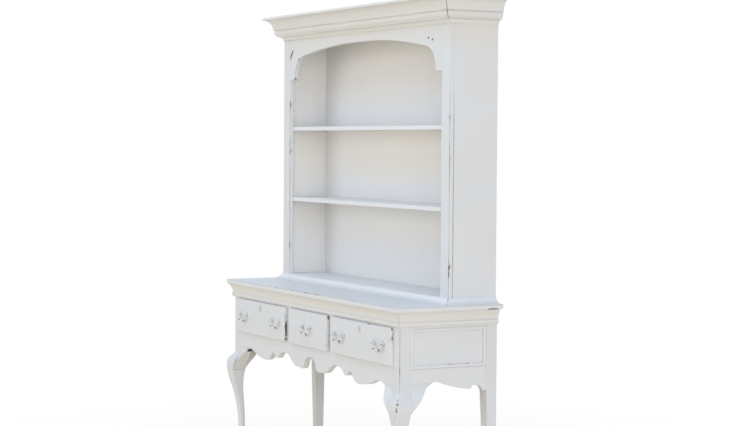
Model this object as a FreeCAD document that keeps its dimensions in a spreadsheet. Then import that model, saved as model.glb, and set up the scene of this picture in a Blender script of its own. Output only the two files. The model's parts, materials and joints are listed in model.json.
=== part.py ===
import FreeCAD, Part
import Sketcher
import os
from types import SimpleNamespace

# Welsh dresser in millimetres: an open rack with two shelves stands on a base with three drawers.
# X runs to the right, Y to the back and Z up. The origin is on the floor, in the middle of the plan.

SIZE_ROWS = (
    # Base case
    ("base_width", 1600, "case over its corner posts"),
    ("base_depth", 442, "case from front face to back face"),
    ("table_height", 790, "floor to table surface"),
    ("post_width", 58, "front post, seen from the front"),
    ("post_depth", 48, "front post, seen from the side"),
    ("rear_leg_width", 50, "rear leg across the front"),
    ("rear_leg_depth", 48, "rear leg across the side"),
    ("rear_foot_size", 34, "rear leg at the floor"),
    ("rail_thickness", 24, "front rail, dividers and apron"),
    ("side_thickness", 24, "side rails and side aprons"),
    ("tenon_length", 24, "tenons and tongues of rails and aprons"),
    ("tenon_thickness", 10, "tenons, tongues and side panels"),
    ("tenon_shoulder", 8, "step above and below a tenon"),
    ("divider_tenon", 12, "stub tenons of the drawer dividers"),
    ("back_thickness", 12, "base back"),
    ("back_rebate", 10, "rebate of the rear legs for the back"),
    ("base_back_drop", 55, "base back below the drawer openings"),
    # Table top and its moulding
    ("top_thickness", 20, "table board"),
    ("top_front_overhang", 30, "table board past the case front"),
    ("top_side_overhang", 30, "table board past the case sides"),
    ("top_back_overhang", 10, "table board past the case back"),
    ("top_round", 3, "upper rounding of the table edge"),
    ("top_under_round", 4, "lower rounding of the table edge"),
    ("top_mould_height", 61, "moulding under the table board"),
    ("top_mould_reach", 25, "projection of that moulding"),
    # Cabriole leg
    ("knee_drop", 32, "start of the knee below the end of the front apron"),
    ("knee_reach", 30, "how far the knee stands out of the case"),
    ("knee_block_root", 30, "ear's root, measured from the case corner"),
    ("knee_block_length", 110, "ear from its root along the rail"),
    ("knee_block_drop", 124, "ear below the rail"),
    ("knee_block_depth", 30, "ear behind the case face"),
    ("glue_gap", 0.3, "glue line between ear and leg"),
    # Aprons and side panels
    ("apron_drop", 108, "front apron below the drawer opening"),
    ("apron_end_drop", 76, "front apron at the post"),
    ("side_rail_height", 67, "side rail over the side panel"),
    ("side_panel_height", 160, "side panel between rail and apron"),
    ("side_apron_drop", 100, "side apron at the rear leg"),
    ("side_apron_end_drop", 57, "side apron at the front post"),
    ("panel_groove", 8, "depth of the grooves that hold the side panel"),
    ("bead_width", 14, "bead planted round the side panel"),
    ("bead_height", 9, "bead above the panel"),
    ("bead_round", 4, "rounding of the bead"),
    # Drawers
    ("centre_opening", 358, "width of the middle drawer opening"),
    ("divider_width", 53, "upright between two openings"),
    ("drawer_reveal", 3, "case seen above the drawers"),
    ("drawer_height", 152, "drawer front"),
    ("lip_overlap", 6, "drawer lip past its opening"),
    ("lip_thickness", 16, "how far the lip stands proud"),
    ("lip_round", 4, "rounding of the drawer face"),
    ("front_inset", 10, "drawer front inside its opening"),
    ("running_gap", 0.3, "gap of drawers to case and runners"),
    ("drawer_clearance", 1.2, "gap round a drawer in its opening"),
    ("drawer_side_thickness", 12, "drawer sides and backs"),
    ("drawer_side_height", 126, "drawer sides"),
    ("drawer_back_gap", 42, "space between a drawer box and the base back"),
    ("drawer_lap", 8, "side let into the drawer front"),
    ("drawer_bottom_thickness", 6, "drawer bottom"),
    ("drawer_bottom_height", 10, "drawer bottom above the lower edge"),
    ("drawer_groove", 5, "groove for the drawer bottom"),
    ("runner_bearing", 25, "bearing strip under a drawer side"),
    ("runner_height", 20, "runners and kickers"),
    ("guide_height", 40, "guide beside a drawer"),
    # Pulls
    ("pull_offset", 174, "pull from the middle of a wide drawer"),
    ("pull_drop", 68, "bail axis below the drawer top"),
    ("pull_span", 77, "distance between two posts"),
    ("plate_width", 116, "pull plate"),
    ("plate_height", 58, "pull plate"),
    ("plate_drop", 5, "plate middle below the bail axis"),
    ("plate_thickness", 2.4, "pull plate"),
    ("post_reach", 13, "bail axis from the plate"),
    ("post_base_radius", 9, "rosette of a post"),
    ("post_neck_radius", 4, "neck of a post"),
    ("post_head_radius", 6, "round head of a post"),
    ("bail_rod_radius", 2.6, "rod of the bail"),
    ("bail_hole_gap", 0.06, "radial clearance of the bail in its posts"),
    ("bail_width", 52, "bail over the rod's middle line"),
    ("bail_bend", 5, "bend between pin and bail"),
    ("bail_drop", 30, "foot of the bail below its axis, over the rod's middle line"),
    ("bail_corner", 11, "lower corners of the bail, over the rod's middle line"),
    ("escutcheon_width", 17, "keyhole plate"),
    ("escutcheon_height", 23, "keyhole plate"),
    ("escutcheon_thickness", 2, "keyhole plate"),
    ("escutcheon_drop", 29, "keyhole plate's middle below the drawer top"),
    # Rack
    ("rack_setback", 28, "rack sides in from the case sides"),
    ("rack_depth", 220, "rack from front face to back face"),
    ("rack_height", 1220, "table surface to the top of the cornice"),
    ("rack_side_thickness", 20, "rack sides"),
    ("rack_back_thickness", 10, "rack back"),
    ("stile_width", 65, "face frame stiles"),
    ("stile_thickness", 19, "face frame"),
    ("shelf_thickness", 18, "shelves"),
    ("shelf_dado", 7, "shelves let into the sides"),
    ("upper_shelf_lift", 712, "upper shelf's surface above the table"),
    ("lower_shelf_lift", 384, "lower shelf's surface above the table"),
    ("rack_floor_lift", 26, "rack floor's surface above the table"),
    ("rack_floor_thickness", 20, "rack floor"),
    ("roof_thickness", 18, "board that closes the rack"),
    ("cornice_lip", 4, "cornice above the board"),
    ("header_strip", 38, "header between cornice and the middle of the arch"),
    ("arch_rise", 148, "arch from its tips to its middle"),
    ("header_tongue", 15, "header let into the stiles"),
    ("cornice_height", 107, "cornice"),
    ("cornice_reach", 79, "projection of the cornice"),
    ("skirt_height", 26, "moulding round the rack's foot"),
    ("skirt_reach", 22, "projection of that moulding"),
    # Cuts
    ("overrun", 5, "how far a cut runs past the piece"),
)

# Half outline of the front apron, from the middle to the post. Each row ends in a point, after the middle
# point of its arc: along half the clear width, and down from the drawer opening by the apron's drop.
APRON_SHARES = (
    (0.0700, 0.700),
    (0.0860, 0.925, 0.1350, 0.958),
    (0.1980, 0.930, 0.2500, 0.745),
    (0.3400, 0.520, 0.4220, 0.690),
    (0.4370, 0.800, 0.4600, 0.815),
    (0.4750, 0.790, 0.4800, 0.740),
    (0.5070, 0.640, 0.5360, 0.765),
    (0.5700, 0.950, 0.6350, 1.000),
    (0.7150, 0.940, 0.7900, 0.775),
    (0.8250, 0.715, 0.8650, 0.704),
)
APRON_NOTCH_SHARE = 0.46

# Outline of the side apron from the rear leg to the front post, as shares of its clear length and its drop.
SIDE_APRON_SHARES = (
    (0.945, 0.960),
    (0.915, 0.800, 0.860, 0.750),
    (0.815, 0.765, 0.795, 0.870),
    (0.780, 0.885, 0.760, 0.880),
    (0.560, 0.755, 0.400, 0.570),
    (0.335, 0.515, 0.275, 0.570),
)

# Sections of the cabriole leg: height, outward step by the knee's reach, inward step by the post's depth,
# and corner rounding by half the section. The first rows are those of the knee.
LEG_SECTION_SHARES = (
    (1.000, 0.00, 0.98, 0.02),
    (0.982, 0.14, 0.98, 0.03),
    (0.956, 0.56, 0.97, 0.04),
    (0.931, 0.84, 0.94, 0.05),
    (0.898, 0.98, 0.89, 0.06),
    (0.860, 1.02, 0.83, 0.08),
    (0.815, 0.98, 0.75, 0.11),
    (0.743, 0.80, 0.66, 0.19),
    (0.646, 0.44, 0.63, 0.32),
    (0.498, 0.00, 0.69, 0.53),
    (0.332, -0.26, 0.77, 0.75),
    (0.205, -0.30, 0.80, 0.90),
    (0.135, -0.22, 0.83, 0.94),
    (0.085, 0.02, 0.92, 0.95),
    (0.055, 0.34, 1.08, 0.95),
    (0.035, 0.47, 1.16, 0.95),
    (0.012, 0.48, 1.17, 0.95),
    (0.000, 0.40, 1.12, 0.95),
)
KNEE_ROWS = 8

# Profiles of the mouldings from their foot upwards: projection by reach, height by height.
CORNICE_SHARES = (
    (0.05, 0.00),
    (0.10, 0.12, 0.28, 0.17),
    (0.33, 0.17),
    (0.33, 0.22),
    (0.43, 0.29, 0.46, 0.39),
    (0.43, 0.42),
    (0.43, 0.45),
    (0.51, 0.47),
    (0.51, 0.53),
    (0.65, 0.78, 0.93, 0.91),
    (1.00, 0.91),
    (1.00, 1.00),
)
TOP_MOULD_SHARES = (
    (0.08, 0.00),
    (0.38, 0.06, 0.50, 0.24),
    (0.50, 0.31),
    (0.36, 0.34),
    (0.53, 0.68, 0.90, 0.93),
    (1.00, 0.93),
    (1.00, 1.00),
)
SKIRT_SHARES = (
    (1.00, 0.00),
    (1.00, 0.24),
    (0.52, 0.40, 0.20, 0.90),
    (0.16, 1.00),
)

# Half outline of a pull plate, from the top point round to the foot, by half its width and half its height.
PLATE_SHARES = (
    (0.13, 0.88, 0.22, 0.60),
    (0.34, 0.84, 0.50, 0.66),
    (0.66, 0.76, 0.78, 0.52),
    (1.00, 0.30, 0.90, -0.02),
    (0.94, -0.34, 0.70, -0.46),
    (0.50, -0.48, 0.38, -0.72),
    (0.22, -1.00, 0.00, -0.86),
)

# Sections of the ear beside a knee, from its root to its end: along its length, its drop, and its swell by
# the knee's reach. Each section is flat at first and then swells out, past a middle point.
EAR_SHARES = (
    (0.00, 1.000, 0.95),
    (0.25, 0.720, 0.98),
    (0.51, 0.470, 0.80),
    (0.76, 0.200, 0.14),
    (1.00, 0.025, 0.03),
)
EAR_FLAT_SHARE = 0.30
EAR_MIDDLE_SHARES = (0.46, 0.65)

# Profile of a pull's post: height of the rosette, shoulder of its rim, and end of the neck at the head.
POST_ROSETTE_SHARE = 0.33
POST_RIM_SHARES = (0.33, 0.80)
POST_NECK_SHARE = 0.75

# Three-centred arch of the header: its half width, its end and its flank, by half the clear width and rise.
ARCH_HALF_SHARE = 0.926
ARCH_SPRING_SHARE = 0.12
ARCH_FLANK_SHARES = (0.895, 0.50, 0.810, 0.715)
ARCH_CROWN_SHARES = (0.430, 0.935)
ARCH_TIP_SHARES = (0.935, 0.03, 0.963, 0.00)

# Place of the middle point of a quarter arc, measured from its corner.
QUARTER_ARC_SHARE = 1 - 0.5 ** 0.5

# Two places closer than this are one, and a cut has to take away more than this share of a volume.
SAME_PLACE = 1e-4
LEAST_CUT_SHARE = 1e-9


class Size:
    """A length: its value, and the expression on the sheet that gives it."""

    def __init__(self, value, text):
        self.value = value
        self.text = text

    def __add__(self, other):
        other = as_size(other)
        return Size(self.value + other.value, f"({self.text} + {other.text})")

    def __sub__(self, other):
        other = as_size(other)
        return Size(self.value - other.value, f"({self.text} - {other.text})")

    def __mul__(self, factor):
        return Size(self.value * factor, f"({self.text} * {factor:.9f})")

    def __truediv__(self, factor):
        return Size(self.value / factor, f"({self.text} / {factor:.9f})")

    def __neg__(self):
        return Size(-self.value, f"(0 - {self.text})")

    def __radd__(self, other):
        return as_size(other) + self

    def __rsub__(self, other):
        return as_size(other) - self

    __rmul__ = __mul__


def as_size(value):
    return value if isinstance(value, Size) else Size(float(value), f"{float(value):.9f}")


doc = FreeCAD.newDocument("WelshDresser")
sheet = doc.addObject("Spreadsheet::Sheet", "Sizes")
for row, (name, value, note) in enumerate(SIZE_ROWS, start=1):
    sheet.set(f"A{row}", name)
    sheet.set(f"B{row}", str(value))
    sheet.setAlias(f"B{row}", name)
    sheet.set(f"C{row}", note)
doc.recompute()
size = SimpleNamespace(**{name: Size(float(value), f"Sizes.{name}") for name, value, note in SIZE_ROWS})

nodes = {}
cuts = []


# Features

def bind(thing, prop, length):
    """Tie a property to the sheet."""
    thing.setExpression(prop, as_size(length).text)


def new_body(label):
    body = doc.addObject("PartDesign::Body", label)
    body.Label = label
    return body


def keep(label, thing):
    """Register a sub-part under the name of its file."""
    thing.Label = label
    nodes[label] = thing
    return thing


def point(place):
    return FreeCAD.Vector(as_size(place[0]).value, as_size(place[1]).value, 0)


def pin_point(sketch, edge, end, place, limits):
    """Hold a point of the sketch at its place from the sketch's origin."""
    for axis, length in zip(("DistanceX", "DistanceY"), place):
        length = as_size(length)
        limit = Sketcher.Constraint(axis, -1, 1, edge, end, length.value)
        limits.append((sketch.addConstraint(limit), length))


def draw_edges(sketch, steps, closed, limits):
    """Draw lines and three-point arcs. A step is a point, or an arc's middle point and its end."""
    corners = [step[-2:] for step in steps]
    targets = steps[1:] + steps[:1] if closed else steps[1:]
    joints = []
    for start, step in zip(corners, targets):
        if len(step) == 4:
            edge = sketch.addGeometry(Part.Arc(point(start), point(step[:2]), point(step[2:])), False)
            near = sketch.getPoint(edge, 1).distanceToPoint(point(start))
            far = sketch.getPoint(edge, 2).distanceToPoint(point(start))
            head, tail = (1, 2) if near < far else (2, 1)
            middle = sketch.addGeometry(Part.Point(point(step[:2])), True)
            pin_point(sketch, middle, 1, step[:2], limits)
            sketch.addConstraint(Sketcher.Constraint("PointOnObject", middle, 1, edge))
        else:
            edge = sketch.addGeometry(Part.LineSegment(point(start), point(step)), False)
            head, tail = 1, 2
        pin_point(sketch, edge, head, start, limits)
        joints.append((edge, head, tail))
    for (edge, head, tail), (after, after_head, after_tail) in zip(joints, joints[1:]):
        sketch.addConstraint(Sketcher.Constraint("Coincident", edge, tail, after, after_head))
    first_edge, first_head, first_tail = joints[0]
    last_edge, last_head, last_tail = joints[-1]
    if closed:
        sketch.addConstraint(Sketcher.Constraint("Coincident", last_edge, last_tail, first_edge, first_head))
    else:
        pin_point(sketch, last_edge, last_tail, corners[-1], limits)


def new_sketch(body, name, role, offset):
    """Start a sketch on one of the body's own origin planes, moved along the plane's normal."""
    sketch = body.newObject("Sketcher::SketchObject", name)
    plane = next(feature for feature in body.Origin.OriginFeatures if feature.Role == role)
    sketch.AttachmentSupport = [(plane, "")]
    sketch.MapMode = "FlatFace"
    bind(sketch, "AttachmentOffset.Base.z", offset)
    return sketch


def bind_limits(sketch, limits):
    for number, length in limits:
        bind(sketch, f"Constraints[{number}]", length)


def outline(body, name, role, offset, loops, closed=True):
    """A sketch of one or more outlines."""
    sketch = new_sketch(body, name, role, offset)
    limits = []
    for steps in loops:
        draw_edges(sketch, list(steps), closed, limits)
    bind_limits(sketch, limits)
    return sketch


def circle(body, name, role, offset, centre, radius):
    """A sketch of one circle."""
    sketch = new_sketch(body, name, role, offset)
    limits = []
    ring = sketch.addGeometry(Part.Circle(point(centre), FreeCAD.Vector(0, 0, 1), radius.value), False)
    pin_point(sketch, ring, 3, centre, limits)
    limits.append((sketch.addConstraint(Sketcher.Constraint("Radius", ring, radius.value)), radius))
    bind_limits(sketch, limits)
    return sketch


def sweep_offset(role, low, high):
    """The XZ plane looks to the front, so what runs from low to high along Y starts at its high end."""
    return -high if role == "XZ_Plane" else low


def pad(body, name, role, low, high, *loops):
    """Raise outlines from low to high, square to their plane."""
    feature = body.newObject("PartDesign::Pad", name)
    feature.Profile = outline(body, f"{name}_outline", role, sweep_offset(role, low, high), loops)
    bind(feature, "Length", high - low)
    return feature


def add_cut(body, name, sketch, low, high):
    feature = body.newObject("PartDesign::Pocket", name)
    feature.Profile = sketch
    feature.Reversed = True
    bind(feature, "Length", high - low)
    cuts.append(feature)
    return feature


def pocket(body, name, role, low, high, *loops):
    """Cut outlines out of the body, from low to high, square to their plane."""
    sketch = outline(body, f"{name}_outline", role, sweep_offset(role, low, high), loops)
    return add_cut(body, name, sketch, low, high)


def box(low_x, high_x, low_y, high_y):
    """Rectangle, counter-clockwise."""
    return ((low_x, low_y), (high_x, low_y), (high_x, high_y), (low_x, high_y))


def soften(body, name, base, radius, test):
    """Round the edges of the last feature whose two ends and middle pass the test."""
    doc.recompute()
    chosen = []
    for number, edge in enumerate(base.Shape.Edges, start=1):
        ends = [vertex.Point for vertex in edge.Vertexes]
        if all(test(place) for place in ends + [edge.CenterOfMass]):
            chosen.append(f"Edge{number}")
    feature = body.newObject("PartDesign::Fillet", name)
    feature.Base = (base, chosen)
    bind(feature, "Radius", radius)
    return feature


def from_shares(row, across, up):
    """A step of an outline from a row of shares, which gives places across and up by turns."""
    return tuple(across(share) if place % 2 == 0 else up(share) for place, share in enumerate(row))


def in_order(first, second):
    return (first, second) if first.value < second.value else (second, first)


def at(first, second):
    """Two places are the same."""
    return abs(first - as_size(second).value) < SAME_PLACE


def mirrored(name, thing):
    """The left-hand twin of a right-hand piece."""
    twin = doc.addObject("Part::Mirroring", name)
    twin.Source = thing
    twin.Normal = FreeCAD.Vector(1, 0, 0)
    return twin


def keep_pair(stem, body):
    """Right and left pieces as two nodes."""
    keep(f"{stem}_right", body)
    keep(f"{stem}_left", mirrored(f"{stem}_left", body))


def keep_group(label, pieces):
    """Several like pieces as one node of separate solids."""
    group = doc.addObject("Part::Compound", label)
    group.Links = pieces
    keep(label, group)


def both_sides(loop):
    """An outline on the right and its mirror image on the left."""
    flipped = tuple((-step[0], step[1]) for step in reversed(loop))
    return loop, flipped


# Main planes and levels

base_half = size.base_width / 2
pull_reach = size.plate_thickness + size.post_reach + size.post_head_radius
front_reach = size.running_gap + size.lip_thickness + pull_reach
case_front = (front_reach - size.base_depth - size.top_back_overhang) / 2
case_back = case_front + size.base_depth
top_front = case_front - size.top_front_overhang
top_back = case_back + size.top_back_overhang
rail_back = case_front + size.rail_thickness
base_back_face = case_back - size.back_thickness
post_inner = base_half - size.post_width
post_back = case_front + size.post_depth
rear_inner = base_half - size.rear_leg_width
rear_front = case_back - size.rear_leg_depth

top_under = size.table_height - size.top_thickness
mould_foot = top_under - size.top_mould_height
drawer_top = mould_foot - size.drawer_reveal
drawer_foot = drawer_top - size.drawer_height
opening_top = drawer_top - size.lip_overlap
opening_foot = drawer_foot + size.lip_overlap
apron_end = opening_foot - size.apron_end_drop
knee_top = apron_end - size.knee_drop
base_back_foot = opening_foot - size.base_back_drop
side_panel_top = top_under - size.side_rail_height
side_panel_foot = side_panel_top - size.side_panel_height
side_apron_end = side_panel_foot - size.side_apron_end_drop
side_apron_rear = side_panel_foot - size.side_apron_drop

centre_half = size.centre_opening / 2
divider_outer = centre_half + size.divider_width
wide_opening = post_inner - divider_outer
wide_middle = (post_inner + divider_outer) / 2

front_tenon_low = case_front + (size.rail_thickness - size.tenon_thickness) / 2
front_tenon_high = front_tenon_low + size.tenon_thickness
side_tenon_low = base_half - (size.side_thickness + size.tenon_thickness) / 2
side_tenon_high = side_tenon_low + size.tenon_thickness

rack_half = base_half - size.rack_setback
rack_back = top_back
rack_front = rack_back - size.rack_depth
frame_back = rack_front + size.stile_thickness
rack_inner = rack_half - size.rack_side_thickness
back_face = rack_back - size.rack_back_thickness
stile_inner = rack_half - size.stile_width
total_height = size.table_height + size.rack_height
rack_top = total_height - size.cornice_lip
floor_top = size.table_height + size.rack_floor_lift
floor_foot = floor_top - size.rack_floor_thickness
roof_foot = rack_top - size.roof_thickness
cornice_foot = total_height - size.cornice_height
arch_crown = cornice_foot - size.header_strip
arch_tip = arch_crown - size.arch_rise
upper_shelf_top = size.table_height + size.upper_shelf_lift
lower_shelf_top = size.table_height + size.lower_shelf_lift
dado_end = rack_inner + size.shelf_dado


# Legs and case

def leg_section(body, number, height, outward, inward, rounding):
    """Rounded square round the corner of the case, drawn at its height."""
    right = base_half + outward
    left = base_half - inward
    front = case_front - outward
    back = case_front + inward
    radius = (inward + outward) / 2 * rounding
    tip = radius * QUARTER_ARC_SHARE
    steps = (
        (left + radius, front),
        (right - radius, front),
        (right - tip, front + tip, right, front + radius),
        (right, back - radius),
        (right - tip, back - tip, right - radius, back),
        (left + radius, back),
        (left + tip, back - tip, left, back - radius),
        (left, front + radius),
    )
    first = (left + tip, front + tip) + steps[0]
    return outline(body, f"leg_section_{number}", "XY_Plane", height, ((first,) + steps[1:],))


def make_front_leg():
    """Square post over a cabriole leg with a knee, a slim ankle and a pad foot."""
    body = new_body("leg_front_right")
    sections = []
    for number, (height_share, out_share, in_share, round_share) in enumerate(LEG_SECTION_SHARES):
        height = knee_top * height_share
        outward = size.knee_reach * out_share
        inward = size.post_depth * in_share
        sections.append(leg_section(body, number, height, outward, inward, round_share))
    leg = body.newObject("PartDesign::AdditiveLoft", "cabriole")
    leg.Profile = sections[0]
    leg.Sections = sections[1:]
    pad(
        body, "post", "XY_Plane", knee_top, top_under,
        box(post_inner, base_half, case_front, post_back),
    )
    tenon_end = post_inner + size.tenon_length
    pocket(
        body, "front_mortises", "XZ_Plane", front_tenon_low, front_tenon_high,
        box(post_inner, tenon_end, opening_top + size.tenon_shoulder, top_under - size.tenon_shoulder),
        box(post_inner, tenon_end, apron_end + size.tenon_shoulder, opening_foot - size.tenon_shoulder),
    )
    side_joints(body, post_back - size.tenon_length, post_back - size.panel_groove, post_back)
    keep_pair("leg_front", body)


def side_joints(body, tenon_end, groove_end, face):
    """Mortises and panel groove of a corner post, on its face towards the side panel."""
    low_end, high_end = in_order(tenon_end, face)
    low_groove, high_groove = in_order(groove_end, face)
    pocket(
        body, "side_mortises", "YZ_Plane", side_tenon_low, side_tenon_high,
        box(low_end, high_end, side_panel_top + size.panel_groove, top_under - size.tenon_shoulder),
        box(
            low_end, high_end,
            side_apron_end + size.tenon_shoulder, side_panel_foot - size.panel_groove,
        ),
    )
    pocket(
        body, "panel_groove", "YZ_Plane", side_tenon_low, side_tenon_high,
        box(
            low_groove, high_groove,
            side_panel_foot - size.panel_groove, side_panel_top + size.panel_groove,
        ),
    )


def make_rear_leg():
    """Straight leg that tapers to the floor on its two inner faces."""
    body = new_body("leg_rear_right")
    foot = box(base_half - size.rear_foot_size, base_half, case_back - size.rear_foot_size, case_back)
    full = box(rear_inner, base_half, rear_front, case_back)
    taper = body.newObject("PartDesign::AdditiveLoft", "taper")
    taper.Profile = outline(body, "foot_outline", "XY_Plane", as_size(0), (foot,))
    taper.Sections = [outline(body, "taper_outline", "XY_Plane", side_apron_rear, (full,))]
    pad(body, "post", "XY_Plane", side_apron_rear, top_under, full)
    side_joints(body, rear_front + size.tenon_length, rear_front + size.panel_groove, rear_front)
    pocket(
        body, "back_rebate", "XY_Plane", base_back_foot, top_under + size.overrun,
        box(
            rear_inner - size.overrun, rear_inner + size.back_rebate,
            base_back_face, case_back + size.overrun,
        ),
    )
    keep_pair("leg_rear", body)


def apron_outline():
    """Scalloped lower edge of the front apron, the same on both sides of its middle."""
    def across(share):
        return post_inner * share

    def up(share):
        return opening_foot - size.apron_drop * share

    half = [from_shares(row, across, up) for row in APRON_SHARES]
    half[-1] = half[-1][:-1] + (apron_end,)
    right = half + [(post_inner, apron_end), (post_inner, opening_foot)]
    left = [(-post_inner, opening_foot), (-post_inner, apron_end)]
    left.append((-half[-1][-2], half[-1][-1]))
    for after, before in zip(reversed(half), list(reversed(half))[1:]):
        left.append((-after[0], after[1], -before[-2], before[-1]))
    first = (as_size(0), up(APRON_NOTCH_SHARE)) + half[0]
    return (first,) + tuple(right[1:]) + tuple(left)


def add_front_tenons(body, low, high):
    """Tenons at both ends of a front rail."""
    tenon = box(
        post_inner, post_inner + size.tenon_length,
        low + size.tenon_shoulder, high - size.tenon_shoulder,
    )
    pad(body, "tenons", "XZ_Plane", front_tenon_low, front_tenon_high, *both_sides(tenon))


def divider_mortise():
    """Plan of the stub tenon of a divider."""
    return box(
        centre_half + size.tenon_shoulder, divider_outer - size.tenon_shoulder,
        front_tenon_low, front_tenon_high,
    )


def make_front_frame():
    """Top rail, scalloped apron and the two dividers between the drawers."""
    rail = new_body("front_top_rail")
    pad(
        rail, "rail", "XZ_Plane", case_front, rail_back,
        box(-post_inner, post_inner, opening_top, top_under),
    )
    add_front_tenons(rail, opening_top, top_under)
    pocket(
        rail, "divider_mortises", "XY_Plane", opening_top, opening_top + size.divider_tenon,
        *both_sides(divider_mortise()),
    )
    keep("front_top_rail", rail)

    apron = new_body("front_apron")
    pad(apron, "board", "XZ_Plane", case_front, rail_back, apron_outline())
    add_front_tenons(apron, apron_end, opening_foot)
    pocket(
        apron, "divider_mortises", "XY_Plane", opening_foot - size.divider_tenon, opening_foot,
        *both_sides(divider_mortise()),
    )
    keep("front_apron", apron)

    divider = new_body("drawer_divider_right")
    pad(
        divider, "upright", "XZ_Plane", case_front, rail_back,
        box(centre_half, divider_outer, opening_foot, opening_top),
    )
    pad(
        divider, "tenons", "XY_Plane", opening_foot - size.divider_tenon, opening_top + size.divider_tenon,
        divider_mortise(),
    )
    keep_pair("drawer_divider", divider)


def side_apron_outline():
    """Shaped lower edge of the side apron: a peak near the front, a long slope, a cusp and a small arch."""
    def across(share):
        return post_back + (rear_front - post_back) * share

    def up(share):
        return side_panel_foot - size.side_apron_drop * share

    edge = [from_shares(row, across, up) for row in SIDE_APRON_SHARES]
    edge[-1] = edge[-1][:-1] + (side_apron_end,)
    corners = (
        (post_back, side_apron_end),
        (post_back, side_panel_foot),
        (rear_front, side_panel_foot),
        (rear_front, side_apron_rear),
    )
    return tuple(edge) + corners


def add_side_tenons(body, low, high):
    """Tenons at both ends of a side rail."""
    pad(
        body, "tenons", "YZ_Plane", side_tenon_low, side_tenon_high,
        box(post_back - size.tenon_length, post_back, low, high),
        box(rear_front, rear_front + size.tenon_length, low, high),
    )


def make_side_frame():
    """Side rails and aprons with a panel in their grooves, and the bead planted on it."""
    outer_low = base_half - size.side_thickness
    groove_foot = side_panel_foot - size.panel_groove
    groove_top = side_panel_top + size.panel_groove

    rail = new_body("side_top_rail_right")
    pad(
        rail, "rail", "YZ_Plane", outer_low, base_half,
        box(post_back, rear_front, side_panel_top, top_under),
    )
    add_side_tenons(rail, groove_top, top_under - size.tenon_shoulder)
    pocket(
        rail, "panel_groove", "YZ_Plane", side_tenon_low, side_tenon_high,
        box(post_back, rear_front, side_panel_top, groove_top),
    )
    keep_group("side_top_rails", [rail, mirrored("side_top_rail_left", rail)])

    apron = new_body("side_apron_right")
    pad(apron, "board", "YZ_Plane", outer_low, base_half, side_apron_outline())
    add_side_tenons(apron, side_apron_end + size.tenon_shoulder, groove_foot)
    pocket(
        apron, "panel_groove", "YZ_Plane", side_tenon_low, side_tenon_high,
        box(post_back, rear_front, groove_foot, side_panel_foot),
    )
    keep_pair("side_apron", apron)

    panel = new_body("side_panel_right")
    pad(
        panel, "panel", "YZ_Plane", side_tenon_low, side_tenon_high,
        box(post_back - size.panel_groove, rear_front + size.panel_groove, groove_foot, groove_top),
    )
    keep_pair("side_panel", panel)

    make_beads()


def make_beads():
    """Four mitred strips planted round each side panel, with rounded crests."""
    crest = side_tenon_high + size.bead_height
    outer = box(post_back, rear_front, side_panel_foot, side_panel_top)
    inner = box(
        post_back + size.bead_width, rear_front - size.bead_width,
        side_panel_foot + size.bead_width, side_panel_top - size.bead_width,
    )
    pieces = []
    for number in range(4):
        after = (number + 1) % 4
        strip = new_body(f"side_bead_{number}")
        plan = (outer[number], outer[after], inner[after], inner[number])
        blank = pad(strip, "strip", "YZ_Plane", side_tenon_high, crest, plan)
        level = number % 2 == 0

        def runs_along(place, plan=plan, level=level):
            if not at(place.x, crest):
                return False
            along = place.z if level else place.y
            return any(at(along, corner[1] if level else corner[0]) for corner in (plan[0], plan[2]))

        soften(strip, "rounding", blank, size.bead_round, runs_along)
        pieces += [strip, mirrored(f"side_bead_{number}_left", strip)]
    keep_group("side_panel_beads", pieces)


def ear_section(body, number, role, offset, face, sign, level, drop, swell):
    """Section of an ear: flush with the apron at its top, and swelling out towards its foot."""
    deep = face - size.knee_block_depth * sign
    proud = face + swell * sign
    foot = level - drop
    middle_out, middle_down = EAR_MIDDLE_SHARES
    steps = (
        (deep, level),
        (deep, foot),
        (proud, foot),
        (
            face + swell * (middle_out * sign), level - drop * middle_down,
            face, level - drop * EAR_FLAT_SHARE,
        ),
        (face, level),
    )
    return outline(body, f"ear_section_{number}", role, offset, (steps,))


def leg_edge(corner, post_edge, sign, level):
    """Outline of the leg beside an ear, with a glue line: down the post, under it and round the knee."""
    gap = size.glue_gap * sign
    steps = [(corner, level + size.overrun), (post_edge + gap, level + size.overrun)]
    steps.append((post_edge + gap, knee_top - size.glue_gap))
    for height_share, out_share, in_share, round_share in LEG_SECTION_SHARES[:KNEE_ROWS]:
        inner = corner + size.post_depth * (in_share * sign) + gap
        steps.append((inner, knee_top * height_share - size.glue_gap))
    return tuple(steps) + ((corner, steps[-1][1]),)


def make_ear(name, role, cut_role, level, face, face_sign, corner, post_edge, sign):
    """One ear, lofted from its root to its end on the rail, and cut to the leg."""
    body = new_body(name)
    sections = []
    for number, (along_share, drop_share, swell_share) in enumerate(EAR_SHARES):
        place = corner + (size.knee_block_root + size.knee_block_length * along_share) * sign
        offset = -place if role == "XZ_Plane" else place
        drop = size.knee_block_drop * drop_share
        swell = size.knee_reach * swell_share
        sections.append(ear_section(body, number, role, offset, face, face_sign, level, drop, swell))
    loft = body.newObject("PartDesign::AdditiveLoft", "ear")
    loft.Profile = sections[0]
    loft.Sections = sections[1:]
    deep = face - (size.knee_block_depth + size.overrun) * face_sign
    proud = face + (size.knee_reach + size.overrun) * face_sign
    low, high = in_order(deep, proud)
    pocket(body, "leg_seat", cut_role, low, high, leg_edge(corner, post_edge, sign, level))
    return body


def make_knee_blocks():
    """Ears beside each knee, under the front apron and under the side apron."""
    front = make_ear(
        "knee_block_front", "YZ_Plane", "XZ_Plane", apron_end,
        case_front, -1, base_half, post_inner, -1,
    )
    side = make_ear(
        "knee_block_side", "XZ_Plane", "YZ_Plane", side_apron_end,
        base_half, 1, case_front, post_back, 1,
    )
    pieces = [front, side]
    pieces += [mirrored("knee_block_front_left", front), mirrored("knee_block_side_left", side)]
    keep_group("knee_blocks", pieces)


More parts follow.
